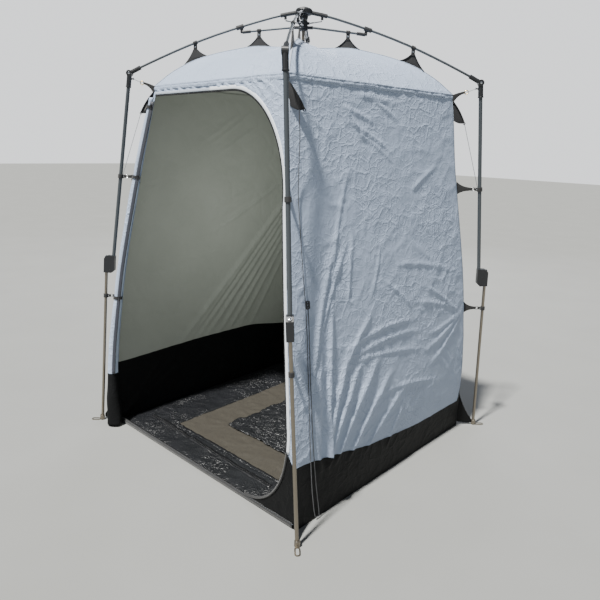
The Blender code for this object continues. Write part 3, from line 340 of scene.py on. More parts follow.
def grained(name, light, dark, grain_mm, stretch, roughness, metallic, depth_mm, coat=0.0):
    """Solid stuff with grain of one size, stretched along Z where it was drawn or brushed."""
    made, tree, shader = start_material(name, {"Metallic": metallic, "Coat Weight": coat})
    place = add_node(tree, "ShaderNodeTexCoord")
    laid = add_node(tree, "ShaderNodeMapping", {"Vector": place.outputs["Object"], "Scale": (1, 1, stretch)})
    grain = add_node(tree, "ShaderNodeTexNoise", {"Vector": laid.outputs[0], "Scale": 1 / (grain_mm * MM),
                                                  "Detail": 3.0})
    tone = add_node(tree, "ShaderNodeMix", {"Factor": grain.outputs["Fac"], 6: hex_colour(dark),
                                            7: hex_colour(light)}, data_type="RGBA")
    tree.links.new(tone.outputs[2], shader.inputs["Base Color"])
    dulled = add_node(tree, "ShaderNodeMapRange", {"Value": grain.outputs["Fac"], 3: roughness - 0.06,
                                                   4: roughness + 0.06})
    tree.links.new(dulled.outputs[0], shader.inputs["Roughness"])
    bump = add_node(tree, "ShaderNodeBump", {"Height": grain.outputs["Fac"], "Distance": depth_mm * MM,
                                             "Strength": 0.5})
    tree.links.new(bump.outputs[0], shader.inputs["Normal"])
    return made


POWDER_COAT = grained("dark_grey_powder_coated_steel", "#4b5054", "#3f4448", 1.2, 1.0, 0.34, 0.25, 0.05)
SATIN_STEEL = grained("satin_drawn_steel", "#8f877a", "#7d766b", 0.9, 0.06, 0.30, 0.90, 0.02)
FIBREGLASS = grained("black_fibreglass_rod", "#1d1e20", "#141516", 1.0, 0.2, 0.30, 0.0, 0.03, 0.3)
NYLON = grained("black_moulded_nylon", "#202225", "#17181a", 0.8, 1.0, 0.42, 0.0, 0.06)
CHROME = grained("chromed_steel", "#cfd2d6", "#bfc3c8", 2.0, 1.0, 0.16, 1.0, 0.01)
BRASS = grained("brass_plated_steel", "#b79a63", "#a38652", 2.0, 1.0, 0.28, 1.0, 0.01)
GREY_CORD = speckled("grey_polyester_cord", "#8d9297", "#6c7176", 1.4, 0.70, 0.2)
WHITE_PLASTIC = grained("white_moulded_polypropylene", "#e4e6e8", "#d7dadd", 1.5, 1.0, 0.40, 0.0, 0.03)
print("materials in all:", len(bpy.data.materials))

# %% [markdown]
# ## The loose guyline
#
# A thin braided line is tied to the gusset at the near eaves corner. It hangs down the wall, turns up
# again at the ground and ends in a flat three-hole slider, through which it also runs. It is a limp
# cord, so it is a round braid swept along its route, with the length it really has.

# %% Guyline and its slider
CORD_RADIUS = 0.00175
CORD_POINTS = 78
CORD_CLEAR = 0.0045
CURVE_STEPS = 20
GUYLINE_ROUTE = (
    (1.6617, 0.0208, 0.0360),
    (1.640, 0.0212, 0.0358),
    (1.560, 0.0290, 0.0310),
    (1.460, 0.0350, 0.0180),
    (1.340, 0.0440, CORD_CLEAR),
    (1.200, 0.0540, CORD_CLEAR),
    (1.050, 0.0660, CORD_CLEAR),
    (0.940, 0.0760, CORD_CLEAR),
    (0.840, 0.0820, CORD_CLEAR),
    (0.680, 0.0850, CORD_CLEAR),
    (0.500, 0.0880, CORD_CLEAR),
    (0.350, 0.0900, CORD_CLEAR),
    (0.180, 0.0950, CORD_CLEAR),
    (0.060, 0.1040, 0.0060),
    (0.014, 0.1110, 0.0090),
    (0.003, 0.1230, 0.0110),
    (0.014, 0.1350, 0.0090),
    (0.060, 0.1330, 0.0060),
    (0.180, 0.1200, CORD_CLEAR),
    (0.350, 0.1080, CORD_CLEAR),
    (0.500, 0.1020, CORD_CLEAR),
    (0.680, 0.0970, CORD_CLEAR),
    (0.840, 0.0940, CORD_CLEAR),
    (0.918, 0.0900, CORD_CLEAR),
)


def beside_right_wall(z, along, off):
    half = cabin_half(z)
    return turned(half + off, -half + along, z)


def path_lengths(points):
    lengths = [0.0]
    for first, second in zip(points, points[1:]):
        lengths.append(lengths[-1] + (second - first).length)
    return lengths


def evenly(points, count):
    """The same polyline, stepped off in count points at equal distances."""
    lengths = path_lengths(points)
    spaced = []
    i = 0
    for k in range(count):
        target = lengths[-1] * k / (count - 1)
        while i < len(points) - 2 and lengths[i + 1] < target:
            i += 1
        share = (target - lengths[i]) / max(lengths[i + 1] - lengths[i], 1e-9)
        spaced.append(between(points[i], points[i + 1], min(share, 1.0)))
    return spaced


def smooth_route(knots, count):
    """Evenly spaced points on a smooth curve through the knots."""
    dense = []
    for i in range(len(knots) - 1):
        a = knots[max(i - 1, 0)]
        b = knots[i]
        c = knots[i + 1]
        d = knots[min(i + 2, len(knots) - 1)]
        for k in range(CURVE_STEPS):
            t = k / CURVE_STEPS
            dense.append(0.5 * (2 * b + (c - a) * t + (2 * a - 5 * b + 4 * c - d) * t * t
                                + (3 * b - a - 3 * c + d) * t ** 3))
    dense.append(knots[-1])
    return evenly(dense, count)


def braided_cord(name, light, dark, plait_mm):
    """Round braid: two sets of strands wound against each other along the cord's own map."""
    made, tree, shader = start_material(name, {"Roughness": 0.55, "Sheen Weight": 0.2})
    flat = add_node(tree, "ShaderNodeUVMap")
    fields = []
    for lean in (-1.0, 1.0):
        laid = add_node(tree, "ShaderNodeMapping", {"Vector": flat.outputs["UV"],
                                                    "Rotation": (0, 0, lean * math.radians(35))})
        strands = add_node(tree, "ShaderNodeTexWave", {"Vector": laid.outputs[0],
                                                       "Scale": 0.314 / (plait_mm * MM)})
        fields.append(strands.outputs["Fac"])
    plait = add_node(tree, "ShaderNodeMath", {0: fields[0], 1: fields[1]}, operation="MULTIPLY")
    tone = add_node(tree, "ShaderNodeMix", {"Factor": plait.outputs[0], 6: hex_colour(dark),
                                            7: hex_colour(light)}, data_type="RGBA")
    tree.links.new(tone.outputs[2], shader.inputs["Base Color"])
    bump = add_node(tree, "ShaderNodeBump", {"Height": plait.outputs[0], "Distance": 0.3 * MM})
    tree.links.new(bump.outputs[0], shader.inputs["Normal"])
    return made


GUY_BRAID = braided_cord("dark_flecked_polyester_braid", "#6e7178", "#17181b", 2.2)


def finish_mesh(builder, name, materials, smooth_angle=40.0):
    """Turn a builder into an object at the origin, with its materials and soft shading."""
    mesh = bpy.data.meshes.new(name)
    builder.to_mesh(mesh)
    builder.free()
    for item in materials:
        mesh.materials.append(item)
    mesh.shade_smooth()
    mesh.set_sharp_from_angle(angle=math.radians(smooth_angle))
    made = bpy.data.objects.new(name, mesh)
    bpy.context.scene.collection.objects.link(made)
    return made


def across_path(points, sideways):
    """Two unit vectors across the path at each of its points, the first as near sideways as can be."""
    pairs = []
    for i, point in enumerate(points):
        along = (points[min(i + 1, len(points) - 1)] - points[max(i - 1, 0)]).normalized()
        first = (sideways - along * sideways.dot(along)).normalized()
        pairs.append((first, along.cross(first)))
    return pairs


def swept(name, points, radius, material, sides=8, sideways=UP, flatten=1.0):
    """Round or flattened bar along a path, capped at both ends, with its own map in metres."""
    builder = bmesh.new()
    uv = builder.loops.layers.uv.new("UVMap")
    lengths = path_lengths(points)
    radii = radius if isinstance(radius, (list, tuple)) else [radius] * len(points)
    rings = []
    for (first, second), point, size in zip(across_path(points, sideways), points, radii):
        ring = []
        for k in range(sides):
            angle = 2 * math.pi * k / sides
            spot = first * math.cos(angle) + second * math.sin(angle) * flatten
            ring.append(builder.verts.new(point + spot * size))
        rings.append(ring)
    girth = 2 * math.pi * max(radii)
    for i, (lower, upper) in enumerate(zip(rings, rings[1:])):
        for k in range(sides):
            j = (k + 1) % sides
            face = builder.faces.new((lower[k], lower[j], upper[j], upper[k]))
            marks = ((k, i), (k + 1, i), (k + 1, i + 1), (k, i + 1))
            for loop, (turn_k, row) in zip(face.loops, marks):
                loop[uv].uv = (girth * turn_k / sides, lengths[row])
    builder.faces.new(list(reversed(rings[0])))
    builder.faces.new(rings[-1])
    return finish_mesh(builder, name, [material])


cord_path = smooth_route([beside_right_wall(*row) for row in GUYLINE_ROUTE], CORD_POINTS)
guyline = swept("guyline", cord_path, CORD_RADIUS, GUY_BRAID, sides=8, sideways=Vector((1, 0, 0)))

SLIDER_Z = 0.936
SLIDER_SIZE = (0.022, 0.008, 0.034)
SLIDER_ALONG = 0.0830


def rounded_plate(name, outline, depth, place, material, holes=(), bevel=0.0012):
    """Plate from an outline in its own plane with round holes and softened edges, then put in place."""
    flat = bpy.data.curves.new(name, "CURVE")
    flat.dimensions = "2D"
    flat.fill_mode = "BOTH"
    flat.extrude = depth / 2 - bevel
    flat.bevel_depth = bevel
    flat.bevel_resolution = 2
    flat.offset = -bevel
    rims = [outline]
    for (x, y), radius in holes:
        turns = [2 * math.pi * k / 20 for k in range(20)]
        rims.append([(x + radius * math.cos(a), y + radius * math.sin(a)) for a in turns])
    for rim in rims:
        spline = flat.splines.new("POLY")
        spline.points.add(len(rim) - 1)
        for slot, (x, y) in zip(spline.points, rim):
            slot.co = (x, y, 0.0, 1.0)
        spline.use_cyclic_u = True
    temporary = bpy.data.objects.new(name + "_curve", flat)
    bpy.context.scene.collection.objects.link(temporary)
    bpy.context.view_layer.update()
    mesh = bpy.data.meshes.new_from_object(temporary.evaluated_get(bpy.context.evaluated_depsgraph_get()))
    bpy.data.objects.remove(temporary)
    builder = bmesh.new()
    builder.from_mesh(mesh)
    bpy.data.meshes.remove(mesh)
    bmesh.ops.remove_doubles(builder, verts=builder.verts, dist=1e-6)
    bmesh.ops.recalc_face_normals(builder, faces=builder.faces)
    builder.transform(place)
    return finish_mesh(builder, name, [material], 30.0)


def place_matrix(origin, first, second):
    """Matrix that puts a plate's x along first and its y along second, at origin."""
    x = first.normalized()
    z = x.cross(second.normalized()).normalized()
    y = z.cross(x)
    return Matrix.Translation(origin) @ Matrix((x, y, z)).transposed().to_4x4()


def rounded_outline(width, height, corner, steps=5):
    points = []
    for sign_x, sign_y, first in ((1, 1, 0), (-1, 1, 90), (-1, -1, 180), (1, -1, 270)):
        for k in range(steps + 1):
            angle = math.radians(first + 90 * k / steps)
            points.append((sign_x * (width / 2 - corner) + corner * math.cos(angle),
                           sign_y * (height / 2 - corner) + corner * math.sin(angle)))
    return points


slider_middle = beside_right_wall(SLIDER_Z, SLIDER_ALONG, CORD_CLEAR + CORD_RADIUS + SLIDER_SIZE[1] / 2 + 0.0003)
wall_axis = turned(0, 1, SLIDER_Z) - UP * SLIDER_Z
wall_rise = beside_right_wall(SLIDER_Z + 0.02, 0, 0) - beside_right_wall(SLIDER_Z - 0.02, 0, 0)
slider = rounded_plate(
    "guyline_slider_plate", rounded_outline(SLIDER_SIZE[0], SLIDER_SIZE[2], 0.006), SLIDER_SIZE[1] * 0.6,
    place_matrix(slider_middle, wall_axis, wall_rise), NYLON,
    holes=(((0, 0.0105), 0.0030), ((0, 0.0), 0.0030), ((0, -0.0105), 0.0030)))
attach(guyline, "root")
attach(slider, "root")
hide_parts("guyline_front_right")
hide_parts("guyline_slider")

# %% [markdown]
# ## Floor and light
#
# A plain pale floor and an even pale surround, so that nothing competes with the cloth. One high soft
# lamp in front skims down the walls and so draws every crease, a large one behind fills the far sides,
# and a faint one inside stands for the daylight that thin cloth lets through.

# %% Floor, surround and lamps
FLOOR_REACH = 30.0
floor_paint, floor_tree, floor_shader = start_material("pale_studio_floor", {"Roughness": 0.9})
floor_place = add_node(floor_tree, "ShaderNodeTexCoord")
floor_grain = add_node(floor_tree, "ShaderNodeTexNoise", {"Vector": floor_place.outputs["Object"], "Scale": 2.0})
floor_tone = add_node(floor_tree, "ShaderNodeMix", {"Factor": floor_grain.outputs["Fac"],
                                                    6: hex_colour("#7e7f7d"), 7: hex_colour("#858684")},
                      data_type="RGBA")
floor_tree.links.new(floor_tone.outputs[2], floor_shader.inputs["Base Color"])
floor_builder = bmesh.new()
bmesh.ops.create_grid(floor_builder, x_segments=2, y_segments=2, size=FLOOR_REACH)
bmesh.ops.translate(floor_builder, verts=floor_builder.verts, vec=(0, 0, -0.0005))
studio_floor = finish_mesh(floor_builder, "studio_floor", [floor_paint])

surround = bpy.data.worlds.new("pale_surround")
surround.use_nodes = True
background = surround.node_tree.nodes["Background"]
background.inputs["Color"].default_value = hex_colour("#e3ebf7")
background.inputs["Strength"].default_value = 0.32
backdrop = add_node(surround.node_tree, "ShaderNodeBackground", {"Color": hex_colour("#f2f4f6"), "Strength": 1.5})
seen = add_node(surround.node_tree, "ShaderNodeLightPath")
shown_world = add_node(surround.node_tree, "ShaderNodeMixShader",
                       {0: seen.outputs["Is Camera Ray"], 1: background.outputs[0], 2: backdrop.outputs[0]})
surround.node_tree.links.new(shown_world.outputs[0], surround.node_tree.nodes["World Output"].inputs["Surface"])
bpy.context.scene.world = surround
HIGH_LAMP_SIDE = Vector((0.0, -0.45, 0.89))


def add_lamp(name, kind, place, aim, power, colour, **settings):
    """Lamp of one kind at a place, turned to look at aim."""
    lamp = bpy.data.lights.new(name, kind)
    lamp.energy = power
    lamp.color = hex_colour(colour)[:3]
    for setting, value in settings.items():
        setattr(lamp, setting, value)
    made = bpy.data.objects.new(name, lamp)
    bpy.context.scene.collection.objects.link(made)
    look = (Vector(aim) - Vector(place)).to_track_quat("-Z", "Y")
    made.matrix_world = Matrix.Translation(place) @ look.to_matrix().to_4x4()
    return made


add_lamp("high_lamp", "SUN", HIGH_LAMP_SIDE * 6, (0, 0, 0), 10.5, "#fffdf8", angle=math.radians(4))
add_lamp("back_lamp", "AREA", (-3.5, 4.5, 3.0), (0, 0, 1.0), 160, "#f4f7ff", size=3.0)
cabin_glow = add_lamp("cabin_glow", "POINT", (0.10, -0.05, 1.05), (0, 0, 0), 17, "#f2f4ee", shadow_soft_size=0.25)
cabin_glow.visible_camera = False
cabin_glow.visible_glossy = False
print("lamps set")

# %% [markdown]
# ## The fields of folds
#
# A wall of thin coated cloth held at its corners does two things: it draws long tension folds from
# each point that pulls, and it keeps the crumple of its bag. Both are heights off the wall's smooth
# surface. A fold is a bowed line on the wall with a width and a height that dies out at both ends. The
# crumple is the ridge between the cells of a Voronoi pattern.

# %% Heights of folds and crumples


def fold_height(fold, u, z):
    """Height of one fold at distance u along the wall and height z. Its row gives the two ends of its
    line, how far the line bows to its left, half its width and its height."""
    start_u, start_z, end_u, end_z, bow, width, height = fold
    chord = math.hypot(end_u - start_u, end_z - start_z)
    c = (end_u - start_u) / chord
    s = (end_z - start_z) / chord
    share = ((u - start_u) * c + (z - start_z) * s) / chord
    if share < -0.15 or share > 1.15:
        return 0.0
    aside = (z - start_z) * c - (u - start_u) * s - 4 * bow * share * (1 - share)
    if abs(aside) > 3 * width:
        return 0.0
    spread = aside / (width * (0.7 + 0.6 * max(share, 0.0)))
    crest = 0.6 * math.exp(-spread * spread) + 0.4 * max(0.0, 1.0 - abs(spread))
    return height * crest * smooth_step(-0.15, 0.12, share) * (1.0 - smooth_step(0.65, 1.15, share))


def crumple_height(spot, cell, seed):
    """Ridges between the cells of a Voronoi pattern, bent a little so that they wander."""
    scaled = Vector((spot.x, spot.y, spot.z)) / cell + Vector((seed * 7.3, seed * 3.1, seed))
    bent = scaled + noise.noise_vector(scaled * 0.7) * 0.5
    distances, _ = noise.voronoi(bent)
    edge = distances[1] - distances[0]
    return max(0.0, 1.0 - edge / 0.35) ** 1.5


def fold_field(folds, crumples, seed):
    """One function for a wall: the sum of its folds and of its crumples in several cell sizes."""
    def height(u, z, spot):
        total = sum(fold_height(fold, u, z) for fold in folds)
        for cell, size in crumples:
            patch = 0.35 + 1.1 * (noise.noise(spot * 2.3 + Vector((seed, 0, 0))) * 0.5 + 0.5)
            total += (crumple_height(spot, cell, seed) - 0.3) * size * patch
        return total
    return height


print("crest of a fold:", round(fold_height((0, 0, 0, 1, 0, 0.02, 0.01), 0.0, 0.5), 4))

# %% [markdown]
# ## Walls
#
# Three walls are plain: a grid of points about a centimetre apart laid on the cabin's surface, pushed
# out by the fold field, then given its thickness by Solidify with the grey-green back of the cloth as
# its second material, a tone set lighter as painted light for the daylight through the thin cloth.
# Slack cloth rounds a corner instead of creasing there, so the grid turns through half a corner at
# each end. The black band at the foot is sewn to the wall, so the grid's rows are bent to follow its
# top edge and the colour changes exactly on a row.

# %% Plain walls
CLOTH_THICKNESS = 0.0009
CLOTH_INSET = 0.0015
FRONT_ROUND = 0.012
BACK_ROUND = 0.055
EAVES_ROUND = 0.008


def corner_round(back, z):
    """Radius that the cloth turns at a corner: wide on the slack back corners, tight at the eaves."""
    radius = BACK_ROUND if back else FRONT_ROUND
    return EAVES_ROUND + (radius - EAVES_ROUND) * (1 - smooth_step(1.40, 1.78, z)) * smooth_step(-0.1, 0.3, z)


ROUND_ENDS = {"front": (False, False), "right": (False, True), "back": (True, True), "left": (True, False)}


def wall_spot(side, along, z, off):
    """Point of a wall: along runs -1 to 1 from its left to its right, seen from outside."""
    half = cabin_half(z)
    radius = corner_round(ROUND_ENDS[side][0 if along < 0 else 1], z)
    reach = abs(along) * half
    face = half - CLOTH_INSET + off
    turn_share = max(0.0, 1.0 - (half - reach) / radius)
    angle = turn_share * math.pi / 4
    if turn_share > 0:
        reach = half - radius + radius * math.sin(angle)
        face -= radius * (1 - math.cos(angle))
    reach = math.copysign(reach, along)
    spots = {"front": (reach, -face), "right": (face, reach), "back": (-reach, face), "left": (-face, -reach)}
    return turned(*spots[side], z)


def shell(name, builder, materials, thickness=CLOTH_THICKNESS, inner_offset=None):
    """Give a sheet its thickness, inwards, and return it as a finished object."""
    made = finish_mesh(builder, name, materials, 180.0)
    wall = made.modifiers.new("thickness", "SOLIDIFY")
    wall.thickness = thickness
    wall.offset = -1.0
    if inner_offset is not None:
        wall.material_offset = inner_offset
    bpy.context.view_layer.update()
    evaluated = made.evaluated_get(bpy.context.evaluated_depsgraph_get())
    thick = bpy.data.meshes.new_from_object(evaluated)
    thin = made.data
    made.modifiers.clear()
    made.data = thick
    bpy.data.meshes.remove(thin)
    return made


def lay_grid(builder, uv, rows, flat_rows, material_of):
    """Faces between rows of points, their map from flat_rows, their material from the face's row."""
    grid = [[builder.verts.new(point) for point in row] for row in rows]
    for i in range(len(grid) - 1):
        for k in range(len(grid[i]) - 1):
            face = builder.faces.new((grid[i][k], grid[i][k + 1], grid[i + 1][k + 1], grid[i + 1][k]))
            face.material_index = material_of(i, k)
            marks = ((i, k), (i, k + 1), (i + 1, k + 1), (i + 1, k))
            for loop, (row, column) in zip(face.loops, marks):
                loop[uv].uv = flat_rows[row][column]
    return grid


def plain_wall(side, height_off, band_top, step):
    """A whole wall as a folded grid with its black band; returns the finished shell."""
    columns = round(2 * cabin_half(0.3) / step)
    band_rows = round(BAND_TOP_Z / step)
    upper_rows = round((EAVES_Z - BAND_TOP_Z) / step)
    rows = []
    flat_rows = []
    for i in range(band_rows + upper_rows + 1):
        row = []
        flat_row = []
        for k in range(columns + 1):
            along = -1 + 2 * k / columns
            top = band_top(along)
            if i <= band_rows:
                z = top * i / band_rows
            else:
                z = top + (EAVES_Z - top) * (i - band_rows) / upper_rows
            half = cabin_half(z)
            u = (along + 1) * half
            spot = wall_spot(side, along, z, 0.0)
            edge = smooth_step(0.0, 0.05, min(u, 2 * half - u)) * smooth_step(0.0, 0.03, EAVES_Z - z)
            edge *= smooth_step(-0.02, 0.05, z)
            row.append(wall_spot(side, along, z, height_off(u, z, spot) * edge))
            flat_row.append((along * half, z))
        rows.append(row)
        flat_rows.append(flat_row)
    builder = bmesh.new()
    uv = builder.loops.layers.uv.new("UVMap")
    lay_grid(builder, uv, rows, flat_rows, lambda i, k: 1 if i < band_rows else 0)
    made = shell(side + "_wall_cloth", builder, [SILVER_TAFFETA, BLACK_TAFFETA, INNER_TAFFETA_PAINTED_DAYLIGHT, BLACK_TAFFETA],
                 inner_offset=2)
    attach(made, "root")
    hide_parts(side + "_wall")
    return made


# Deep drapes from the near foot, long thin draws above them, and creases toward the belt tie
RIGHT_FOLDS = (
    (0.150, 0.24, 0.165, 0.80, 0.010, 0.024, 0.012),
    (0.212, 0.26, 0.232, 0.92, 0.004, 0.013, 0.013),
    (0.205, 0.24, 0.355, 0.72, 0.020, 0.019, 0.014),
    (0.340, 0.66, 0.500, 0.83, 0.010, 0.013, 0.007),
    (0.215, 0.25, 0.410, 0.60, 0.012, 0.018, 0.015),
    (0.270, 0.24, 0.540, 0.60, 0.012, 0.020, 0.014),
    (0.360, 0.22, 0.650, 0.52, 0.012, 0.020, 0.012),
    (0.480, 0.20, 0.770, 0.42, 0.012, 0.018, 0.009),
    (0.640, 0.15, 0.770, 0.34, 0.006, 0.014, 0.006),
    (0.110, 0.60, 0.205, 1.08, 0.010, 0.012, 0.007),
    (0.125, 0.66, 0.255, 1.18, 0.012, 0.012, 0.007),
    (0.165, 0.80, 0.325, 1.16, 0.008, 0.012, 0.006),
    (0.335, 0.92, 0.360, 1.18, 0.004, 0.011, 0.005),
    (0.240, 1.06, 0.330, 1.46, 0.010, 0.011, 0.004),
    (0.356, 0.71, 0.820, 0.745, 0.022, 0.009, 0.005),
    (0.425, 0.67, 0.870, 0.680, 0.018, 0.009, 0.005),
    (0.390, 0.64, 0.900, 0.580, 0.012, 0.009, 0.004),
    (0.580, 0.44, 1.040, 0.380, 0.016, 0.010, 0.004),
    (1.180, 0.74, 0.900, 0.890, -0.010, 0.009, 0.005),
    (1.200, 0.73, 0.780, 0.830, -0.015, 0.010, 0.004),
    (1.230, 0.70, 0.960, 0.640, 0.010, 0.010, 0.005),
    (1.240, 0.69, 0.930, 0.560, 0.012, 0.012, 0.006),
    (1.245, 0.67, 0.980, 0.470, 0.014, 0.012, 0.006),
    (1.120, 0.54, 1.330, 0.210, 0.008, 0.012, 0.008),
    (1.060, 0.52, 1.210, 0.350, 0.006, 0.010, 0.005),
    (1.180, 0.62, 1.345, 0.330, 0.006, 0.010, 0.007),
    (0.668, 1.02, 1.130, 0.940, 0.016, 0.009, 0.004),
    (0.537, 1.10, 0.471, 0.880, 0.012, 0.009, 0.004),
    (0.577, 0.96, 0.790, 0.810, 0.008, 0.009, 0.004),
    (0.293, 1.69, 0.490, 1.63, 0.004, 0.009, 0.005),
    (0.308, 1.68, 0.420, 1.56, 0.004, 0.009, 0.005),
    (0.381, 1.74, 0.620, 1.722, 0.004, 0.010, 0.005),
    (0.494, 1.72, 0.640, 1.645, 0.004, 0.010, 0.005),
    (0.339, 1.63, 0.600, 1.515, 0.006, 0.010, 0.005),
    (0.403, 1.58, 0.620, 1.470, 0.006, 0.009, 0.004),
    (0.773, 1.36, 0.930, 1.450, 0.006, 0.009, 0.004),
    (0.112, 1.64, 0.220, 1.560, 0.004, 0.009, 0.004),
)
# A fan from the back corner's upper tie to the band, seen from inside, with fine draws above it
LEFT_FOLDS = (
    (0.120, 1.22, 0.959, 0.342, -0.010, 0.020, -0.014),
    (0.120, 1.20, 0.900, 0.345, -0.008, 0.014, -0.010),
    (0.110, 1.17, 0.834, 0.350, -0.008, 0.014, -0.011),
    (0.100, 1.14, 0.755, 0.350, -0.006, 0.014, -0.011),
    (0.090, 1.10, 0.665, 0.350, -0.006, 0.014, -0.010),
    (0.080, 1.06, 0.585, 0.350, -0.004, 0.013, -0.009),
    (0.070, 1.00, 0.500, 0.350, -0.004, 0.013, -0.007),
    (0.060, 0.94, 0.400, 0.340, -0.004, 0.013, -0.006),
    (0.200, 1.29, 0.721, 1.010, -0.004, 0.009, -0.006),
    (0.300, 1.29, 0.720, 1.088, -0.004, 0.009, -0.005),
    (0.450, 1.26, 0.749, 1.140, -0.002, 0.009, -0.005),
    (0.228, 1.28, 0.649, 1.049, -0.004, 0.009, -0.005),
    (0.883, 1.11, 0.987, 1.049, -0.002, 0.008, -0.004),
    (0.460, 1.69, 0.730, 1.511, -0.002, 0.009, -0.005),
    (0.398, 1.63, 0.685, 1.459, -0.002, 0.009, -0.005),
    (0.538, 1.68, 0.794, 1.517, -0.002, 0.009, -0.004),
    (1.330, 0.03, 1.050, 0.330, 0.006, 0.012, -0.006),
    (1.340, 0.03, 0.960, 0.310, 0.006, 0.013, -0.006),
    (1.350, 0.02, 0.860, 0.270, 0.006, 0.014, -0.006),
)
BACK_FOLDS = (
    (0.06, 0.71, 0.60, 0.80, 0.010, 0.016, 0.008),
    (0.06, 0.71, 0.62, 0.58, 0.010, 0.018, 0.009),
    (0.08, 0.70, 0.50, 0.40, 0.010, 0.018, 0.009),
    (1.27, 0.71, 0.72, 0.78, 0.010, 0.016, 0.008),
    (1.27, 0.71, 0.74, 0.55, 0.010, 0.018, 0.009),
    (1.25, 0.70, 0.88, 0.38, 0.010, 0.018, 0.009),
    (0.08, 1.34, 0.55, 1.12, 0.010, 0.012, 0.006),
    (1.10, 1.34, 0.64, 1.10, 0.010, 0.012, 0.006),
    (0.10, 1.36, 0.40, 1.62, 0.010, 0.010, 0.005),
    (1.08, 1.36, 0.78, 1.60, 0.010, 0.010, 0.005),
    (0.10, 0.24, 0.34, 0.76, 0.020, 0.020, 0.010),
    (0.16, 0.24, 0.46, 0.66, 0.020, 0.020, 0.010),
    (1.27, 0.24, 1.04, 0.74, -0.020, 0.020, 0.010),
    (1.20, 0.24, 0.92, 0.62, -0.020, 0.020, 0.010),
)
CRUMPLES = ((0.130, 0.0022), (0.060, 0.0010), (0.033, 0.0007))


def tab(along, centre, width):
    """A black patch that steps up from the band at a corner."""
    return smooth_step(centre - width, centre, along)


def right_band(along):
    fall = 0.288 - 0.070 * smooth_step(-1.0, -0.2, along) - 0.050 * smooth_step(-0.6, 0.5, along)
    return fall + 0.075 * tab(along, 0.94, 0.02)


def left_band(along):
    rise = 0.300 + 0.055 * smooth_step(-1.0, -0.35, along) - 0.020 * smooth_step(0.1, 1.0, along)
    return rise


def back_band(along):
    return 0.235 + 0.050 * smooth_step(0.2, 1.0, along) + 0.012 * math.sin(2.4 * along)


right_cloth = plain_wall("right", fold_field(RIGHT_FOLDS, CRUMPLES, 1), right_band, 0.0085)
left_cloth = plain_wall("left", fold_field(LEFT_FOLDS, CRUMPLES[:2], 2), left_band, 0.0095)
back_cloth = plain_wall("back", fold_field(BACK_FOLDS, CRUMPLES, 3), back_band, 0.0110)
print("faces in the right wall:", len(right_cloth.data.polygons))

# %% [markdown]
# ## Front wall round its doorway
#
# The front wall is little more than a frame round the doorway: a narrow strip on the left, a hem over
# the top and a wider flare at the lower right. A square grid would leave a saw-toothed doorway, so the
# strip is woven between two lines instead: the doorway's edge inside and the seams outside.

# %% Front wall
DOOR_LEFT_MARGIN = 0.022
DOOR_RIGHT_MARGIN = 0.032
DOOR_SILL_Z = 0.030
DOOR_HEAD_Z = 1.752
DOOR_HEAD_RADII = (0.400, 0.450)
DOOR_FOOT_RADII = (0.280, 0.390)
DOOR_BAND_Z = 0.345
FRONT_ROWS = 12


def flat_point(x, z):
    return Vector((x, z, 0.0))


def foot_arc(first_deg, last_deg, count):
    width, height = DOOR_FOOT_RADII
    top = DOOR_SILL_Z + height
    middle_x = cabin_half(top) - DOOR_RIGHT_MARGIN - width
    angles = [math.radians(first_deg + (last_deg - first_deg) * k / (count - 1)) for k in range(count)]
    return [flat_point(middle_x + width * math.sin(a), top - height * math.cos(a)) for a in angles]


def head_arc(first_deg, last_deg, count):
    width, height = DOOR_HEAD_RADII
    bottom = DOOR_HEAD_Z - height
    middle_x = cabin_half(bottom) - DOOR_RIGHT_MARGIN - width
    angles = [math.radians(first_deg + (last_deg - first_deg) * k / (count - 1)) for k in range(count)]
    return [flat_point(middle_x + width * math.cos(a), bottom + height * math.sin(a)) for a in angles]


def side_run(offset_x, bottom, top, count, side=1):
    heights = [bottom + (top - bottom) * k / (count - 1) for k in range(count)]
    return [flat_point(side * (cabin_half(z) - offset_x), z) for z in heights]


ARC_BAND_DEG = math.degrees(math.acos((DOOR_SILL_Z + DOOR_FOOT_RADII[1] - DOOR_BAND_Z) / DOOR_FOOT_RADII[1]))
ARC_CORNER_DEG = 48.0
sill_left = flat_point(-cabin_half(DOOR_SILL_Z) + DOOR_LEFT_MARGIN, DOOR_SILL_Z)
head_left = flat_point(-cabin_half(DOOR_HEAD_Z) + DOOR_LEFT_MARGIN, DOOR_HEAD_Z)
arc_top_z = DOOR_SILL_Z + DOOR_FOOT_RADII[1]
head_bottom_z = DOOR_HEAD_Z - DOOR_HEAD_RADII[1]
FRONT_PARTS = (
    (120, True, [sill_left] + foot_arc(0, ARC_CORNER_DEG, 24),
     [flat_point(-cabin_half(0), 0), flat_point(cabin_half(0), 0)]),
    (26, True, foot_arc(ARC_CORNER_DEG, ARC_BAND_DEG, 16), side_run(0, 0.0, 0.288, 8)),
    (130, False, foot_arc(ARC_BAND_DEG, 90, 8) + side_run(DOOR_RIGHT_MARGIN, arc_top_z, head_bottom_z, 20)
     + head_arc(0, 45, 16), side_run(0, 0.288, EAVES_Z, 30)),
    (92, False, head_arc(45, 90, 16) + [head_left],
     [flat_point(cabin_half(EAVES_Z), EAVES_Z), flat_point(-cabin_half(EAVES_Z), EAVES_Z)]),
    (120, False, list(reversed(side_run(DOOR_LEFT_MARGIN, DOOR_BAND_Z, DOOR_HEAD_Z, 20, -1))),
     list(reversed(side_run(0, DOOR_BAND_Z, EAVES_Z, 20, -1)))),
    (28, True, list(reversed(side_run(DOOR_LEFT_MARGIN, DOOR_SILL_Z, DOOR_BAND_Z, 8, -1))),
     list(reversed(side_run(0, 0.0, DOOR_BAND_Z, 8, -1)))),
)


def front_spot(flat, off):
    """Point of the front wall from its place in the wall's own plane."""
    return wall_spot("front", flat.x / cabin_half(flat.y), flat.y, off)


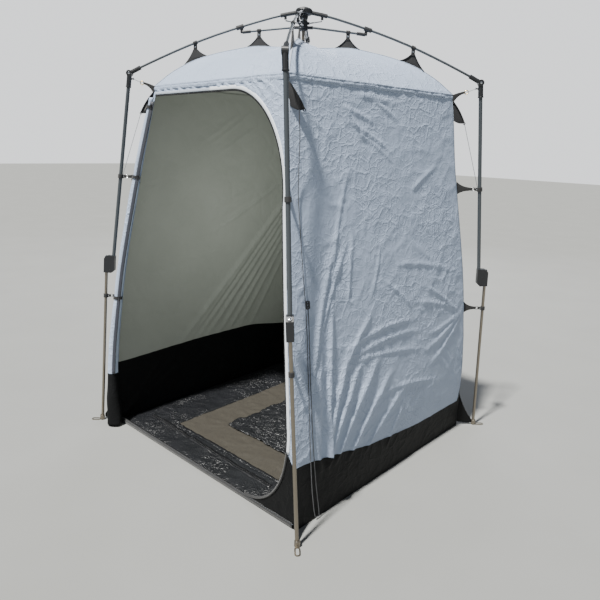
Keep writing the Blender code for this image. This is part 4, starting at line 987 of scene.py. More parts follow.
def front_off(flat, share):
    """Puckers along the eaves hem, soft waves down the strip and a little crumple, none at the edges."""
    spot = front_spot(flat, 0.0)
    pucker = 0.0022 * math.sin(flat.x * 95 + flat.y * 140) * smooth_step(1.66, 1.76, flat.y)
    wave = 0.004 * noise.noise(Vector((flat.x * 3, flat.y * 6, 4.0)))
    crumple = (crumple_height(spot, 0.07, 5) - 0.3) * 0.003
    edge = smooth_step(0.0, 0.25, share) * smooth_step(0.0, 0.2, 1 - share)
    return (pucker + wave + crumple) * edge


front_columns = []
front_black = []
for count, black, inner_line, outer_line in FRONT_PARTS:
    inner_points = evenly(inner_line, count + 1)
    outer_points = evenly(outer_line, count + 1)
    for first, second in list(zip(inner_points, outer_points))[:-1]:
        front_columns.append([between(first, second, i / FRONT_ROWS) for i in range(FRONT_ROWS + 1)])
        front_black.append(1 if black else 0)
front_columns.append(front_columns[0])
front_builder = bmesh.new()
front_uv = front_builder.loops.layers.uv.new("UVMap")
front_rows = []
front_flat = []
for i in range(FRONT_ROWS + 1):
    share = i / FRONT_ROWS
    front_rows.append([front_spot(column[i], front_off(column[i], share)) for column in front_columns])
    front_flat.append([(column[i].x, column[i].y) for column in front_columns])
lay_grid(front_builder, front_uv, front_rows, front_flat, lambda i, k: front_black[k])
bmesh.ops.remove_doubles(front_builder, verts=front_builder.verts, dist=1e-5)
bmesh.ops.reverse_faces(front_builder, faces=front_builder.faces)
front_cloth = shell("front_wall_cloth", front_builder,
                    [SILVER_TAFFETA, BLACK_TAFFETA, INNER_TAFFETA_PAINTED_DAYLIGHT, BLACK_TAFFETA], inner_offset=2)
front_area = sum(face.area for face in front_cloth.data.polygons) / 2
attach(front_cloth, "root")
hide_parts("front_wall")
print("area of the front frame:", round(front_area, 3), "m2")

# %% [markdown]
# ## Roof
#
# Four gores meet on the ridges under the poles. Each gore is a fan of rows from the middle out to the
# eaves; the height of any point comes from the ridge's curve less a sag that is greatest half way
# between two ridges. A few shallow draws run to the eaves corners.

# %% Roof canopy
ROOF_SAG = 0.030
ROOF_ROWS = 60
ROOF_COLUMNS = 96


def roof_height(x, y):
    """Height of the roof cloth: a ridge along each diagonal, sagging a little between ridges."""
    ring = max(abs(x), abs(y))
    if ring < 1e-9:
        return ROOF_RIDGE[0][1]
    toward_corner = min(abs(x), abs(y)) / ring
    slack = math.sin(math.pi * min(ring / ROOF_RIDGE[-1][0], 1.0)) * ROOF_SAG
    return interpolate(ROOF_RIDGE, ring) - slack * (1 - toward_corner ** 2)


def roof_off(x, y):
    ring = max(abs(x), abs(y))
    aside = min(abs(x), abs(y)) / max(ring, 1e-6)
    draw = 0.0016 * math.sin(26 * aside + 9 * ring) * smooth_step(0.15, 0.45, ring) * aside
    crumple = (crumple_height(Vector((x, y, 0)), 0.09, 8) - 0.3) * 0.0016
    edge = smooth_step(0.0, 0.03, ROOF_RIDGE[-1][0] - ring) * smooth_step(0.0, 0.06, 1 - aside)
    return (draw + crumple) * edge


roof_builder = bmesh.new()
roof_uv = roof_builder.loops.layers.uv.new("UVMap")
for quarter in range(4):
    gore_rows = []
    gore_flat = []
    for i in range(ROOF_ROWS + 1):
        half = ROOF_RIDGE[-1][0] * (0.004 + 0.996 * i / ROOF_ROWS)
        row = []
        flat_row = []
        for k in range(ROOF_COLUMNS + 1):
            aside = -half + 2 * half * k / ROOF_COLUMNS
            x, y = (aside, -half)
            for _ in range(quarter):
                x, y = -y, x
            row.append(turned(x, y, roof_height(x, y) - CLOTH_INSET + roof_off(x, y)))
            flat_row.append((aside, half))
        gore_rows.append(row)
        gore_flat.append(flat_row)
    lay_grid(roof_builder, roof_uv, list(reversed(gore_rows)), list(reversed(gore_flat)), lambda i, k: 0)
bmesh.ops.remove_doubles(roof_builder, verts=roof_builder.verts, dist=1e-5)
hole_edges = [edge for edge in roof_builder.edges if edge.is_boundary and edge.verts[0].co.xy.length < 0.02]
bmesh.ops.contextual_create(roof_builder, geom=hole_edges)
roof_cloth = shell("roof_canopy_cloth", roof_builder, [SILVER_TAFFETA, INNER_TAFFETA_PAINTED_DAYLIGHT], inner_offset=1)
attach(roof_cloth, "root")
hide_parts("roof_canopy")
print("faces in the roof:", len(roof_cloth.data.polygons))

# %% [markdown]
# ## Groundsheet
#
# The floor is loose black sheeting that is never flat: it crackles into small facets and rises a
# little along its seams. A square of taupe net is let into its middle behind a zip, and a black flap
# lies over part of the net.

# %% Groundsheet
GROUND_STEP = 0.012
NET_X = (-0.41, 0.41)
NET_Y = (-0.49, 0.41)


def ground_height(x, y):
    spot = Vector((x, y, 0.0))
    rise = 0.0035 + 0.012 * max(0.0, noise.noise(Vector((x * 4.2, y * 4.2, 3.0))))
    rise += (crumple_height(spot, 0.09, 11)) * 0.006 + crumple_height(spot, 0.045, 12) * 0.003
    inner = cabin_half(0) - 0.004
    edge = smooth_step(0.0, 0.05, inner - max(abs(x), abs(y)))
    return 0.0025 + rise * edge


def in_net(x, y):
    return NET_X[0] < x < NET_X[1] and NET_Y[0] < y < NET_Y[1]


ground_half = cabin_half(0) - 0.004
ground_columns = round(2 * ground_half / GROUND_STEP)
ground_line = [-ground_half + 2 * ground_half * k / ground_columns for k in range(ground_columns + 1)]
ground_builder = bmesh.new()
ground_uv = ground_builder.loops.layers.uv.new("UVMap")
lay_grid(ground_builder, ground_uv,
         [[Vector((x, y, ground_height(x, y) * (0.6 if in_net(x, y) else 1.0))) for x in ground_line]
          for y in ground_line],
         [[(x, y) for x in ground_line] for y in ground_line],
         lambda i, k: 1 if in_net(ground_line[k] + 0.006, ground_line[i] + 0.006) else 0)
ground_cloth = shell("groundsheet_cloth", ground_builder, [GROUND_CLOTH, FLOOR_NET], thickness=0.0006)
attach(ground_cloth, "root")
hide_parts("groundsheet")
print("faces in the groundsheet:", len(ground_cloth.data.polygons))

# %% [markdown]
# ## Rolled door
#
# The door is a full-height panel, rolled toward its hinge side and held by three toggles. It is a real
# roll here: a spiral of cloth with loose turns, so that its ends show layers and its length across is
# that of the panel. The outer turn carries the diagonal folds that the toggles pull into it.

# %% Rolled door
ROLL_BOTTOM_Z = 0.010
ROLL_TOP_Z = 1.735
ROLL_RADIUS = ((0.010, 0.044), (0.16, 0.040), (0.30, 0.032), (0.71, 0.024), (1.34, 0.021), (1.735, 0.015))
ROLL_SIDE = ((0.010, 0.040), (0.16, 0.034), (0.30, 0.026), (0.71, 0.020), (1.34, 0.022), (1.735, 0.024))
ROLL_TURNS = 9
ROLL_CORE = 0.006
ROLL_ROWS = 150
ROLL_BAND_Z = 0.300
TAPE = 0.0022
TOGGLE_HEIGHTS = (1.690, 1.345, 0.712)


def roll_axis(z):
    radius = interpolate(ROLL_RADIUS, z)
    half = cabin_half(z)
    return turned(-half + interpolate(ROLL_SIDE, z), -half - radius - TAPE - 0.0009, z)


def roll_pinch(z):
    """How far the toggles squeeze the roll in at this height."""
    return 1.0 - sum(0.16 * math.exp(-(((z - at) / 0.035) ** 2)) for at in TOGGLE_HEIGHTS)


def roll_fold(angle, z):
    folds = math.sin(2 * angle + 9 * z) * 0.5 + math.sin(3 * angle - 14 * z + 1.0) * 0.35
    sharp = 1.0 - abs(math.sin(1.5 * angle + 6 * z + 2 * noise.noise(Vector((0.5 * angle, 5 * z, 0)))))
    return 0.0016 * folds + 0.0030 * (sharp - 0.4)


roll_steps = [k / 16 for k in range((ROLL_TURNS - 2) * 16)]
roll_steps += [ROLL_TURNS - 2 + k / 48 for k in range(2 * 48 + 1)]
roll_rows = []
roll_flat = []
for i in range(ROLL_ROWS + 1):
    z = ROLL_BOTTOM_Z + (ROLL_TOP_Z - ROLL_BOTTOM_Z) * i / ROLL_ROWS
    middle = roll_axis(z)
    outer = interpolate(ROLL_RADIUS, z) * roll_pinch(z) - 0.002
    row = []
    flat_row = []
    run = 0.0
    for k, turns in enumerate(roll_steps):
        share = turns / ROLL_TURNS
        angle = 2 * math.pi * turns + 2.4
        radius = ROLL_CORE + (outer - ROLL_CORE) * share
        radius += roll_fold(angle, z) * share ** 2 * (outer / 0.03)
        row.append(middle + Vector((math.cos(angle) * radius, math.sin(angle) * radius, 0.0)))
        run += radius * 2 * math.pi * (turns - roll_steps[k - 1]) if k else 0.0
        flat_row.append((run, z))
    roll_rows.append(row)
    roll_flat.append(flat_row)
band_row = round((ROLL_BAND_Z - ROLL_BOTTOM_Z) / (ROLL_TOP_Z - ROLL_BOTTOM_Z) * ROLL_ROWS)
roll_builder = bmesh.new()
roll_uv = roll_builder.loops.layers.uv.new("UVMap")
lay_grid(roll_builder, roll_uv, roll_rows, roll_flat, lambda i, k: 1 if i < band_row else 0)
rolled_door = shell("rolled_door_cloth", roll_builder, [SILVER_TAFFETA, BLACK_TAFFETA, SILVER_TAFFETA,
                                                        BLACK_TAFFETA], thickness=0.0007, inner_offset=2)
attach(rolled_door, "root")
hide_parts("rolled_door")
door_area = sum(face.area for face in rolled_door.data.polygons) / 2
print("cloth in the roll:", round(door_area, 3), "m2, faces", len(rolled_door.data.polygons))

# %% [markdown]
# ## Tools for what repeats or follows a path
#
# Sewing, cords and bindings all follow a line, so two small Geometry Nodes trees make them. The first
# sweeps a round bar along every line that it is given. The second steps along a line and sets a small
# lens-shaped stitch or zip tooth at each step. Both end in real geometry with its material set.

# %% Two trees: a swept bar and a row of small pieces


def start_tree(name, numbers):
    """Tree with a geometry in and out, inputs for its sizes in metres, and one for its material."""
    tree = bpy.data.node_groups.new(name, "GeometryNodeTree")
    tree.interface.new_socket(name="Geometry", in_out="OUTPUT", socket_type="NodeSocketGeometry")
    tree.interface.new_socket(name="Geometry", in_out="INPUT", socket_type="NodeSocketGeometry")
    for label in numbers:
        tree.interface.new_socket(name=label, in_out="INPUT", socket_type="NodeSocketFloat")
    tree.interface.new_socket(name="Material", in_out="INPUT", socket_type="NodeSocketMaterial")
    return tree, add_node(tree, "NodeGroupInput")


def end_tree(tree, group_in, geometry):
    real = add_node(tree, "GeometryNodeRealizeInstances", {"Geometry": geometry})
    soft = add_node(tree, "GeometryNodeSetShadeSmooth", {"Geometry": real.outputs["Geometry"]})
    finish = add_node(tree, "GeometryNodeSetMaterial", {"Geometry": soft.outputs["Geometry"],
                                                       "Material": group_in.outputs["Material"]})
    add_node(tree, "NodeGroupOutput", {"Geometry": finish.outputs["Geometry"]})


bar_tree, bar_in = start_tree("bar_along_lines", ("Radius",))
bar_line = add_node(bar_tree, "GeometryNodeMeshToCurve", {"Mesh": bar_in.outputs["Geometry"]})
bar_ring = add_node(bar_tree, "GeometryNodeCurvePrimitiveCircle", {"Resolution": 6,
                                                                  "Radius": bar_in.outputs["Radius"]})
bar_mesh = add_node(bar_tree, "GeometryNodeCurveToMesh", {"Curve": bar_line.outputs["Curve"], "Fill Caps": True,
                                                         "Profile Curve": bar_ring.outputs["Curve"]})
end_tree(bar_tree, bar_in, bar_mesh.outputs["Mesh"])

row_tree, row_in = start_tree("row_of_stitches", ("Pitch", "Length", "Thickness"))
row_line = add_node(row_tree, "GeometryNodeMeshToCurve", {"Mesh": row_in.outputs["Geometry"]})
row_steps = add_node(row_tree, "GeometryNodeResampleCurve", {"Curve": row_line.outputs["Curve"],
                                                            "Length": row_in.outputs["Pitch"]}, mode="LENGTH")
row_tangent = add_node(row_tree, "GeometryNodeInputTangent")
row_turn = add_node(row_tree, "FunctionNodeAlignRotationToVector", {"Vector": row_tangent.outputs["Tangent"]},
                    axis="X")
row_size = add_node(row_tree, "ShaderNodeCombineXYZ", {0: row_in.outputs["Length"],
                                                      1: row_in.outputs["Thickness"],
                                                      2: row_in.outputs["Thickness"]})
row_bead = add_node(row_tree, "GeometryNodeMeshIcoSphere", {"Radius": 0.5, "Subdivisions": 1})
row_placed = add_node(row_tree, "GeometryNodeInstanceOnPoints", {
    "Points": row_steps.outputs["Curve"], "Instance": row_bead.outputs["Mesh"],
    "Rotation": row_turn.outputs["Rotation"], "Scale": row_size.outputs["Vector"]})
end_tree(row_tree, row_in, row_placed.outputs["Instances"])


def along_lines(name, tree, lines, values, material, body="root"):
    """Run a tree over polylines, keep its result as a plain mesh and let it ride on a body."""
    mesh = bpy.data.meshes.new(name)
    points = [point for line in lines for point in line]
    edges = []
    first = 0
    for line in lines:
        edges += [(first + i, first + i + 1) for i in range(len(line) - 1)]
        first += len(line)
    mesh.from_pydata([tuple(p) for p in points], edges, [])
    made = bpy.data.objects.new(name, mesh)
    bpy.context.scene.collection.objects.link(made)
    grown = made.modifiers.new(tree.name, "NODES")
    grown.node_group = tree
    for item in tree.interface.items_tree:
        if item.in_out == "INPUT" and item.name in values:
            grown[item.identifier] = values[item.name]
        if item.in_out == "INPUT" and item.name == "Material":
            grown[item.identifier] = material
    bpy.context.view_layer.update()
    result = bpy.data.meshes.new_from_object(made.evaluated_get(bpy.context.evaluated_depsgraph_get()))
    made.modifiers.clear()
    made.data = result
    bpy.data.meshes.remove(mesh)
    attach(made, body)
    return made


def stitches(name, lines, material, pitch=0.012, length=0.009, thickness=0.0014):
    return along_lines(name, row_tree, lines, {"Pitch": pitch, "Length": length, "Thickness": thickness},
                       material)


def bars(name, lines, radius, material, body="root"):
    return along_lines(name, bar_tree, lines, {"Radius": radius}, material, body)


print("trees:", [tree.name for tree in bpy.data.node_groups if tree.bl_idname == "GeometryNodeTree"])

# %% [markdown]
# ### Small turned and cut parts
#
# Collars, rings, rivets and feet are turned shapes: a profile spun about an axis. Straps and gussets
# are cut from flat webbing, so each is an outline in the vertical plane that runs from the mast through
# its corner, where the two numbers of a point are its distance from the mast and its height.

# %% Turned parts, rings and cut plates


def turned_part(name, origin, axis, profile, material, sides=20, body="root"):
    """Spin (radius, height) pairs about an axis. A radius of 0 closes an end."""
    along = axis.normalized()
    first = along.orthogonal().normalized()
    second = along.cross(first)
    builder = bmesh.new()
    uv = builder.loops.layers.uv.new("UVMap")
    rings = []
    for radius, height in profile:
        turns = [2 * math.pi * k / sides for k in range(sides)]
        rings.append([builder.verts.new(origin + along * height + (first * math.cos(a) + second * math.sin(a))
                                        * max(radius, 1e-6)) for a in turns])
    for i in range(len(rings)):
        j = (i + 1) % len(rings)
        if j == 0 and profile[0][0] == 0 and profile[-1][0] == 0:
            continue
        for k in range(sides):
            m = (k + 1) % sides
            face = builder.faces.new((rings[i][k], rings[i][m], rings[j][m], rings[j][k]))
            marks = ((k, i), (k + 1, i), (k + 1, j), (k, j))
            for loop, (turn_k, row) in zip(face.loops, marks):
                loop[uv].uv = (turn_k / sides * 2 * math.pi * profile[row][0], profile[row][1])
    bmesh.ops.remove_doubles(builder, verts=builder.verts, dist=2e-6)
    bmesh.ops.recalc_face_normals(builder, faces=builder.faces)
    made = finish_mesh(builder, name, [material], 35.0)
    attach(made, body)
    return made


def collar_profile(inner, outer, height, edge=0.0008):
    half = height / 2
    return [(inner, -half), (outer - edge, -half), (outer, -half + edge), (outer, half - edge),
            (outer - edge, half), (inner, half)]


def button_profile(radius, height):
    return [(0, 0), (radius, 0), (radius, height * 0.5), (radius * 0.75, height * 0.9), (0, height)]


def wire_ring(name, middle, axis, major, minor, material, body="root"):
    """Round wire bent into a ring."""
    turns = [2 * math.pi * k / 10 for k in range(10)]
    profile = [(major + minor * math.cos(a), minor * math.sin(a)) for a in turns]
    return turned_part(name, middle, axis, profile, material, 24, body)


def diagonal_spot(corner, reach, z, level, swing=0.0):
    """Point at a distance from the mast in the corner's plane, which is taken at one level. The plane
    may be swung about the cabin's seam."""
    direction = outward(corner, level)
    if not swing:
        return direction * reach + UP * z
    hinge = seam_reach(corner, level)
    return direction * hinge + Matrix.Rotation(swing, 3, "Z") @ direction * (reach - hinge) + UP * z


def diagonal_plate(name, corner, outline, thickness, material, swing=0.0, holes=()):
    level = sum(z for _, z in outline) / len(outline)
    origin = diagonal_spot(corner, 0.0, 0.0, level, swing)
    first = diagonal_spot(corner, 1.0, 0.0, level, swing) - origin
    made = rounded_plate(name, outline, thickness, place_matrix(origin, first, UP), material, holes,
                         bevel=thickness * 0.3)
    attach(made, "root")
    return made


def seam_reach(corner, z):
    """Distance from the mast to the cloth's outer face on a corner."""
    radius = corner_round("back" in corner, z)
    return math.sqrt(2) * (cabin_half(z) - CLOTH_INSET - radius * (1 - math.cos(math.pi / 4)))


def bowed(start, end, bow, steps=6):
    """Points on a bowed line between two (reach, z) pairs; the bow is to its left."""
    points = []
    length = math.hypot(end[0] - start[0], end[1] - start[1])
    aside = (-(end[1] - start[1]) / length, (end[0] - start[0]) / length)
    for k in range(steps + 1):
        share = k / steps
        lift = 4 * bow * share * (1 - share)
        points.append((start[0] + (end[0] - start[0]) * share + aside[0] * lift,
                       start[1] + (end[1] - start[1]) * share + aside[1] * lift))
    return points


print("cloth on the near seam at the belt:", round(seam_reach("front_right", 0.712), 4), "m from the mast")

# %% [markdown]
# ## Hem and seams
#
# Where roof and walls meet, both are folded together into a hem two centimetres tall, held by two rows
# of stitches. The gathered cloth puckers between them. The upright corner seams are narrow felled seams
# in the colour of the cloth that they join.

# %% Eaves hem and its stitches
HEM_PROFILE = ((1.7972, 0.0006), (1.7930, 0.0030), (1.7895, 0.0004), (1.7850, 0.0034), (1.7790, 0.0036),
               (1.7740, 0.0004), (1.7700, 0.0012))
HEM_STEPS = 120


def around_eaves(z, off):
    """Closed line round all four walls at one height."""
    points = []
    for side in ("front", "right", "back", "left"):
        for k in range(HEM_STEPS):
            points.append(wall_spot(side, -1 + 2 * k / HEM_STEPS, z, off))
    points.append(points[0].copy())
    return points


hem_rows = []
for z, off in HEM_PROFILE:
    row = around_eaves(z, 0.0)
    for i, point in enumerate(row[:-1]):
        pucker = noise.noise(Vector((point.x * 34 + z * 130, point.y * 34 - z * 90, 2.0)))
        wave = noise.noise(Vector((point.x * 9, point.y * 9, 7.0)))
        out = Vector((point.x, point.y, 0)).normalized()
        point += out * (off * (1.0 + 1.3 * pucker) + 0.0012) + UP * 0.0022 * wave
    row[-1] = row[0].copy()
    hem_rows.append(row)
hem_builder = bmesh.new()
hem_uv = hem_builder.loops.layers.uv.new("UVMap")
hem_flat = [[(i * 0.009, z) for i in range(len(hem_rows[0]))] for z, _ in HEM_PROFILE]
lay_grid(hem_builder, hem_uv, list(reversed(hem_rows)), list(reversed(hem_flat)), lambda i, k: 0)
bmesh.ops.remove_doubles(hem_builder, verts=hem_builder.verts, dist=1e-6)
eaves_hem = shell("eaves_hem", hem_builder, [SILVER_TAFFETA])
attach(eaves_hem, "root")
stitches("eaves_stitches", [around_eaves(1.7893, 0.0026), around_eaves(1.7738, 0.0026)], GREY_THREAD)


def seam_line(corner, bottom, top, count, lift=0.0004):
    return [radial_spot(corner, seam_reach(corner, z) + lift, z)
            for z in (bottom + (top - bottom) * k / (count - 1) for k in range(count))]


CORNER_BAND_Z = {"front_right": 0.288, "back_right": 0.245, "back_left": 0.292, "front_left": 0.335}
for corner, band_z in CORNER_BAND_Z.items():
    sideways = UP.cross(outward(corner, 1.0))
    seam = swept("seam_" + corner, seam_line(corner, band_z, 1.768, 40), 0.0042, GREY_TAPE, 8, sideways, 0.45)
    foot_seam = swept("band_seam_" + corner, seam_line(corner, 0.004, band_z + 0.002, 12), 0.0042,
                      BLACK_TAFFETA, 8, sideways, 0.45)
    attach(seam, "root")
    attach(foot_seam, "root")
    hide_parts("corner_webbing_" + corner)


def wall_line(side, height_of, off, start=-0.97, end=0.97, count=90):
    """Line along a wall at the height that height_of gives for each place."""
    spots = [start + (end - start) * k / (count - 1) for k in range(count)]
    return [wall_spot(side, along, height_of(along), off) for along in spots]


band_lines = [wall_line(side, band, 0.0022) for side, band in
              (("right", lambda a: right_band(a) + 0.004), ("left", lambda a: left_band(a) + 0.004),
               ("back", lambda a: back_band(a) + 0.004))]
stitches("band_stitches", band_lines, GREY_THREAD, 0.011, 0.008, 0.0012)

# %% [markdown]
# ## Doorway edging
#
# A white grosgrain binding follows the free side of the doorway, with the coil of its zip just inside
# it. Round the black foot the binding is black and thick, like a rope edge. The head of the doorway
# carries the other half of the zip. Each edging is a ribbon laid along the doorway's own outline.

# %% Doorway bindings and zips


def flat_normals(points):
    """For each point of a line in the wall's plane, the unit vector to its right."""
    normals = []
    for i in range(len(points)):
        along = (points[min(i + 1, len(points) - 1)] - points[max(i - 1, 0)]).normalized()
        normals.append(Vector((along.y, -along.x, 0.0)))
    return normals


def front_ribbon(name, points, near, far, lift, material, rows=5, crown=0.0015):
    """Ribbon on the front wall beside a line, between two distances to its right, slightly crowned."""
    normals = flat_normals(points)
    lengths = path_lengths(points)
    grid_rows = []
    flat_rows = []
    for i in range(rows + 1):
        share = i / rows
        offset = near + (far - near) * share
        rise = lift + crown * math.sin(math.pi * share)
        grid_rows.append([front_spot(point + normal * offset, rise) for point, normal in zip(points, normals)])
        flat_rows.append([(offset, length) for length in lengths])
    builder = bmesh.new()
    uv = builder.loops.layers.uv.new("UVMap")
    lay_grid(builder, uv, grid_rows, flat_rows, lambda i, k: 0)
    made = shell(name, builder, [material], 0.0012)
    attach(made, "root")
    return made


right_edge = foot_arc(ARC_BAND_DEG, 90, 10) + side_run(DOOR_RIGHT_MARGIN, arc_top_z, head_bottom_z, 60)[1:]
right_edge = right_edge + head_arc(0, 90, 40)[1:]
head_edge = evenly([right_edge[-1], head_left], 60)
foot_edge = foot_arc(0, ARC_BAND_DEG, 40)
white_edge = evenly(right_edge + head_edge[1:16], 150)
front_ribbon("doorway_binding", white_edge, -0.002, 0.013, 0.0016, BINDING)
front_ribbon("doorway_head_hem", evenly(head_edge[14:], 70), -0.002, 0.010, 0.0012, GREY_TAPE)
zip_line = evenly(right_edge + head_edge[1:], 220)
front_ribbon("doorway_zip_tape", zip_line, -0.010, 0.000, -0.0004, ZIP_COIL, 3, 0.0004)


def inset_line(points, offset, lift):
    return [front_spot(p + n * offset, lift) for p, n in zip(points, flat_normals(points))]


stitches("doorway_zip_teeth", [inset_line(zip_line, -0.0078, 0.0010)], ZIP_COIL, 0.004, 0.0024, 0.0042)
stitches("doorway_binding_stitches", [inset_line(white_edge, 0.0105, 0.0034)], GREY_THREAD, 0.010, 0.007, 0.001)
foot_rope = swept("doorway_foot_edge", [front_spot(p, 0.001) for p in evenly(foot_edge, 70)], 0.0058,
                  WEBBING, 10, Vector((0, -1, 0)))
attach(foot_rope, "root")
sill_line = evenly([flat_point(-cabin_half(0) + 0.02, 0.012), flat_point(cabin_half(0) - 0.02, 0.012)], 120)
sill_band = front_ribbon("sill_binding", sill_line, -0.016, 0.010, 0.0016, WEBBING, 6, 0.004)
stitches("sill_stitches", [[front_spot(p + Vector((0, 0.012, 0)), 0.0042) for p in sill_line]], GREY_THREAD)
hem_points = [(between(foot_arc(ARC_BAND_DEG, 90, 3)[0], flat_point(cabin_half(0.288), 0.288), k / 12), k)
              for k in range(13)]
stitches("front_band_stitches", [[front_spot(p + Vector((0, 0.005, 0)), 0.004) for p, _ in hem_points]],
         GREY_THREAD, 0.010, 0.007, 0.0012)

# %% [markdown]
# ## Floor: zip, tapes and flap
#
# Dark tapes frame the net, the outer zip runs along its front, and a loose flap of crackled sheeting
# lies over the middle. They follow the floor's own ups and downs, a millimetre above it.

# %% Floor tapes and flap


def ground_level(x, y):
    return ground_height(x, y) * (0.6 if in_net(x, y) else 1.0)


def floor_ribbon(name, start, end, width, material, lift=0.0012):
    """Tape on the floor between two (x, y) points."""
    first = Vector((*start, 0.0))
    last = Vector((*end, 0.0))
    along = (last - first).normalized()
    aside = Vector((-along.y, along.x, 0.0))
    count = max(int((last - first).length / 0.012), 2)
    rows = []
    flat_rows = []
    for i in range(4):
        offset = width * (i / 3 - 0.5)
        row = [between(first, last, k / count) + aside * offset for k in range(count + 1)]
        rise = lift + (0.0008 if i in (1, 2) else 0.0)
        rows.append([Vector((p.x, p.y, ground_level(p.x, p.y) + rise)) for p in row])
        flat_rows.append([(offset, (last - first).length * k / count) for k in range(count + 1)])
    builder = bmesh.new()
    uv = builder.loops.layers.uv.new("UVMap")
    lay_grid(builder, uv, rows, flat_rows, lambda i, k: 0)
    made = shell(name, builder, [material], 0.0008)
    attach(made, "root")
    return made


TAPE_WIDTH = 0.024
NET_CORNERS = [(NET_X[0], NET_Y[0]), (NET_X[1], NET_Y[0]), (NET_X[1], NET_Y[1]), (NET_X[0], NET_Y[1])]
for i, (start, end) in enumerate(zip(NET_CORNERS, NET_CORNERS[1:] + NET_CORNERS[:1])):
    floor_ribbon("net_tape_" + str(i + 1), start, end, TAPE_WIDTH, GROUND_CLOTH)
floor_ribbon("floor_zip_tape", (-0.58, -0.53), (0.40, -0.55), 0.030, ZIP_COIL)
zip_floor = [Vector((x / 100, -0.53 - 0.02 * (x + 58) / 98, 0)) for x in range(-58, 41, 2)]
stitches("floor_zip_teeth", [[Vector((p.x, p.y, ground_level(p.x, p.y) + 0.0034)) for p in zip_floor]],
         ZIP_COIL, 0.004, 0.0024, 0.006)
FLAP_X = (-0.20, 0.25)
FLAP_Y = (-0.30, 0.22)
FLAP_STEPS = 48


def flap_point(across, along):
    """Point of the flap, whose edges wander and whose face is crackled."""
    x = FLAP_X[0] + (FLAP_X[1] - FLAP_X[0]) * across + 0.02 * noise.noise(Vector((along * 3, 1.0, 2.0)))
    y = FLAP_Y[0] + (FLAP_Y[1] - FLAP_Y[0]) * along + 0.02 * noise.noise(Vector((across * 3, 5.0, 2.0)))
    crackle = crumple_height(Vector((x, y, 0.3)), 0.08, 21) * 0.008
    crackle += crumple_height(Vector((x, y, 0.3)), 0.04, 22) * 0.004
    roll = 0.010 * max(0.0, noise.noise(Vector((x * 6, y * 6, 9.0))))
    return Vector((x, y, ground_level(x, y) + 0.003 + crackle + roll))


flap_rows = [[flap_point(k / FLAP_STEPS, i / FLAP_STEPS) for k in range(FLAP_STEPS + 1)]
             for i in range(FLAP_STEPS + 1)]
flap_flat = [[(point.x, point.y) for point in row] for row in flap_rows]
flap_builder = bmesh.new()
flap_uv = flap_builder.loops.layers.uv.new("UVMap")
lay_grid(flap_builder, flap_uv, flap_rows, flap_flat, lambda i, k: 0)
floor_flap = shell("floor_flap", flap_builder, [GROUND_CLOTH], 0.0007)
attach(floor_flap, "root")

# %% [markdown]
# ## Toggles of the rolled door
#
# Three toggles hold the roll. Each is a loop of flat webbing round the roll, drawn tight by a small
# moulded peg on the doorway side.

# %% Toggles and zip tape of the roll
for number, height in enumerate(TOGGLE_HEIGHTS, 1):
    middle = roll_axis(height)
    radius = interpolate(ROLL_RADIUS, height) * roll_pinch(height) + 0.0018
    axis = roll_axis(height + 0.01) - roll_axis(height - 0.01)
    turned_part("toggle_loop_%d" % number, middle, axis, collar_profile(radius - 0.001, radius + 0.0014, 0.016),
                WEBBING)
    aside = Vector((1.0, -0.25, 0.0)).normalized()
    peg_middle = middle + aside * (radius + 0.004)
    turned_part("toggle_peg_%d" % number, peg_middle - UP * 0.012, UP, [
        (0, 0), (0.0040, 0.001), (0.0048, 0.004), (0.0030, 0.010), (0.0030, 0.014), (0.0048, 0.020),
        (0.0040, 0.023), (0, 0.024)], NYLON, 14)
    tail = [middle - aside * radius * 0.7 + Vector((-0.004, -0.012, 0)) - UP * 0.003 * k
            - aside * 0.0045 * k for k in range(6)]
    tail_strap = swept("toggle_tail_%d" % number, tail, 0.006, WEBBING, 8, UP, 0.3)
    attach(tail_strap, "root")
roll_tape_rows = []
for i in range(4):
    roll_tape_rows.append([])
    for k in range(110):
        z = 0.30 + (1.715 - 0.30) * k / 109
        middle = roll_axis(z)
        radius = interpolate(ROLL_RADIUS, z) * roll_pinch(z)
        sway = 0.003 * noise.noise(Vector((0, 0, z * 6)))
        roll_tape_rows[i].append(middle + Vector((radius * 0.72 + 0.0055 * i + sway,
                                                  -radius * 0.60 + 0.0035 * i, 0)))
roll_tape_builder = bmesh.new()
roll_tape_uv = roll_tape_builder.loops.layers.uv.new("UVMap")
lay_grid(roll_tape_builder, roll_tape_uv, roll_tape_rows,
         [[(0.006 * i, k * 0.013) for k in range(110)] for i in range(4)], lambda i, k: 0)
roll_tape = shell("roll_zip_tape", roll_tape_builder, [NAVY_TAPE], 0.0012)
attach(roll_tape, "root")
roll_teeth = [row.copy() + Vector((0.0, -0.0016, 0)) for row in roll_tape_rows[3]]
stitches("roll_zip_teeth", [roll_teeth], ZIP_COIL, 0.004, 0.0024, 0.0042)

# %% [markdown]
# ## Ties between cabin and legs
#
# At belt and shoulder height a small gusset on the seam narrows to a strap, passes a wire ring and
# ends in a collar round the leg tube. At the eaves a longer strap ends in a brass ring, from which a
# thin cord goes up to the hook of the elbow. The net gusset below it takes the guyline.

# %% Ties on every corner
EAVES_RING = (0.800, 1.806)
HOOK_SPOT = (0.8425, 1.8235)
GUY_TOP_Z = 1.772
GUY_BASE_Z = 1.662
GUY_WIDTH = 0.052
GUY_SWING = {"front_right": math.radians(75)}
ELBOW_HALF = 0.610
ELBOW_Z = 1.850
KNEE_Z = 0.885
KNEE_UPPER_HALF = 0.690
FOOT_HALF = 0.750
TUBE_OFFSET = 0.034


def upper_leg_line(corner):
    return corner_spot(corner, ELBOW_HALF, ELBOW_Z), corner_spot(corner, KNEE_UPPER_HALF, KNEE_Z)


def lower_leg_line(corner):
    foot = corner_spot(corner, FOOT_HALF, 0.0)
    return foot, corner_spot(corner, KNEE_UPPER_HALF, KNEE_Z) + outward(corner, KNEE_Z) * TUBE_OFFSET


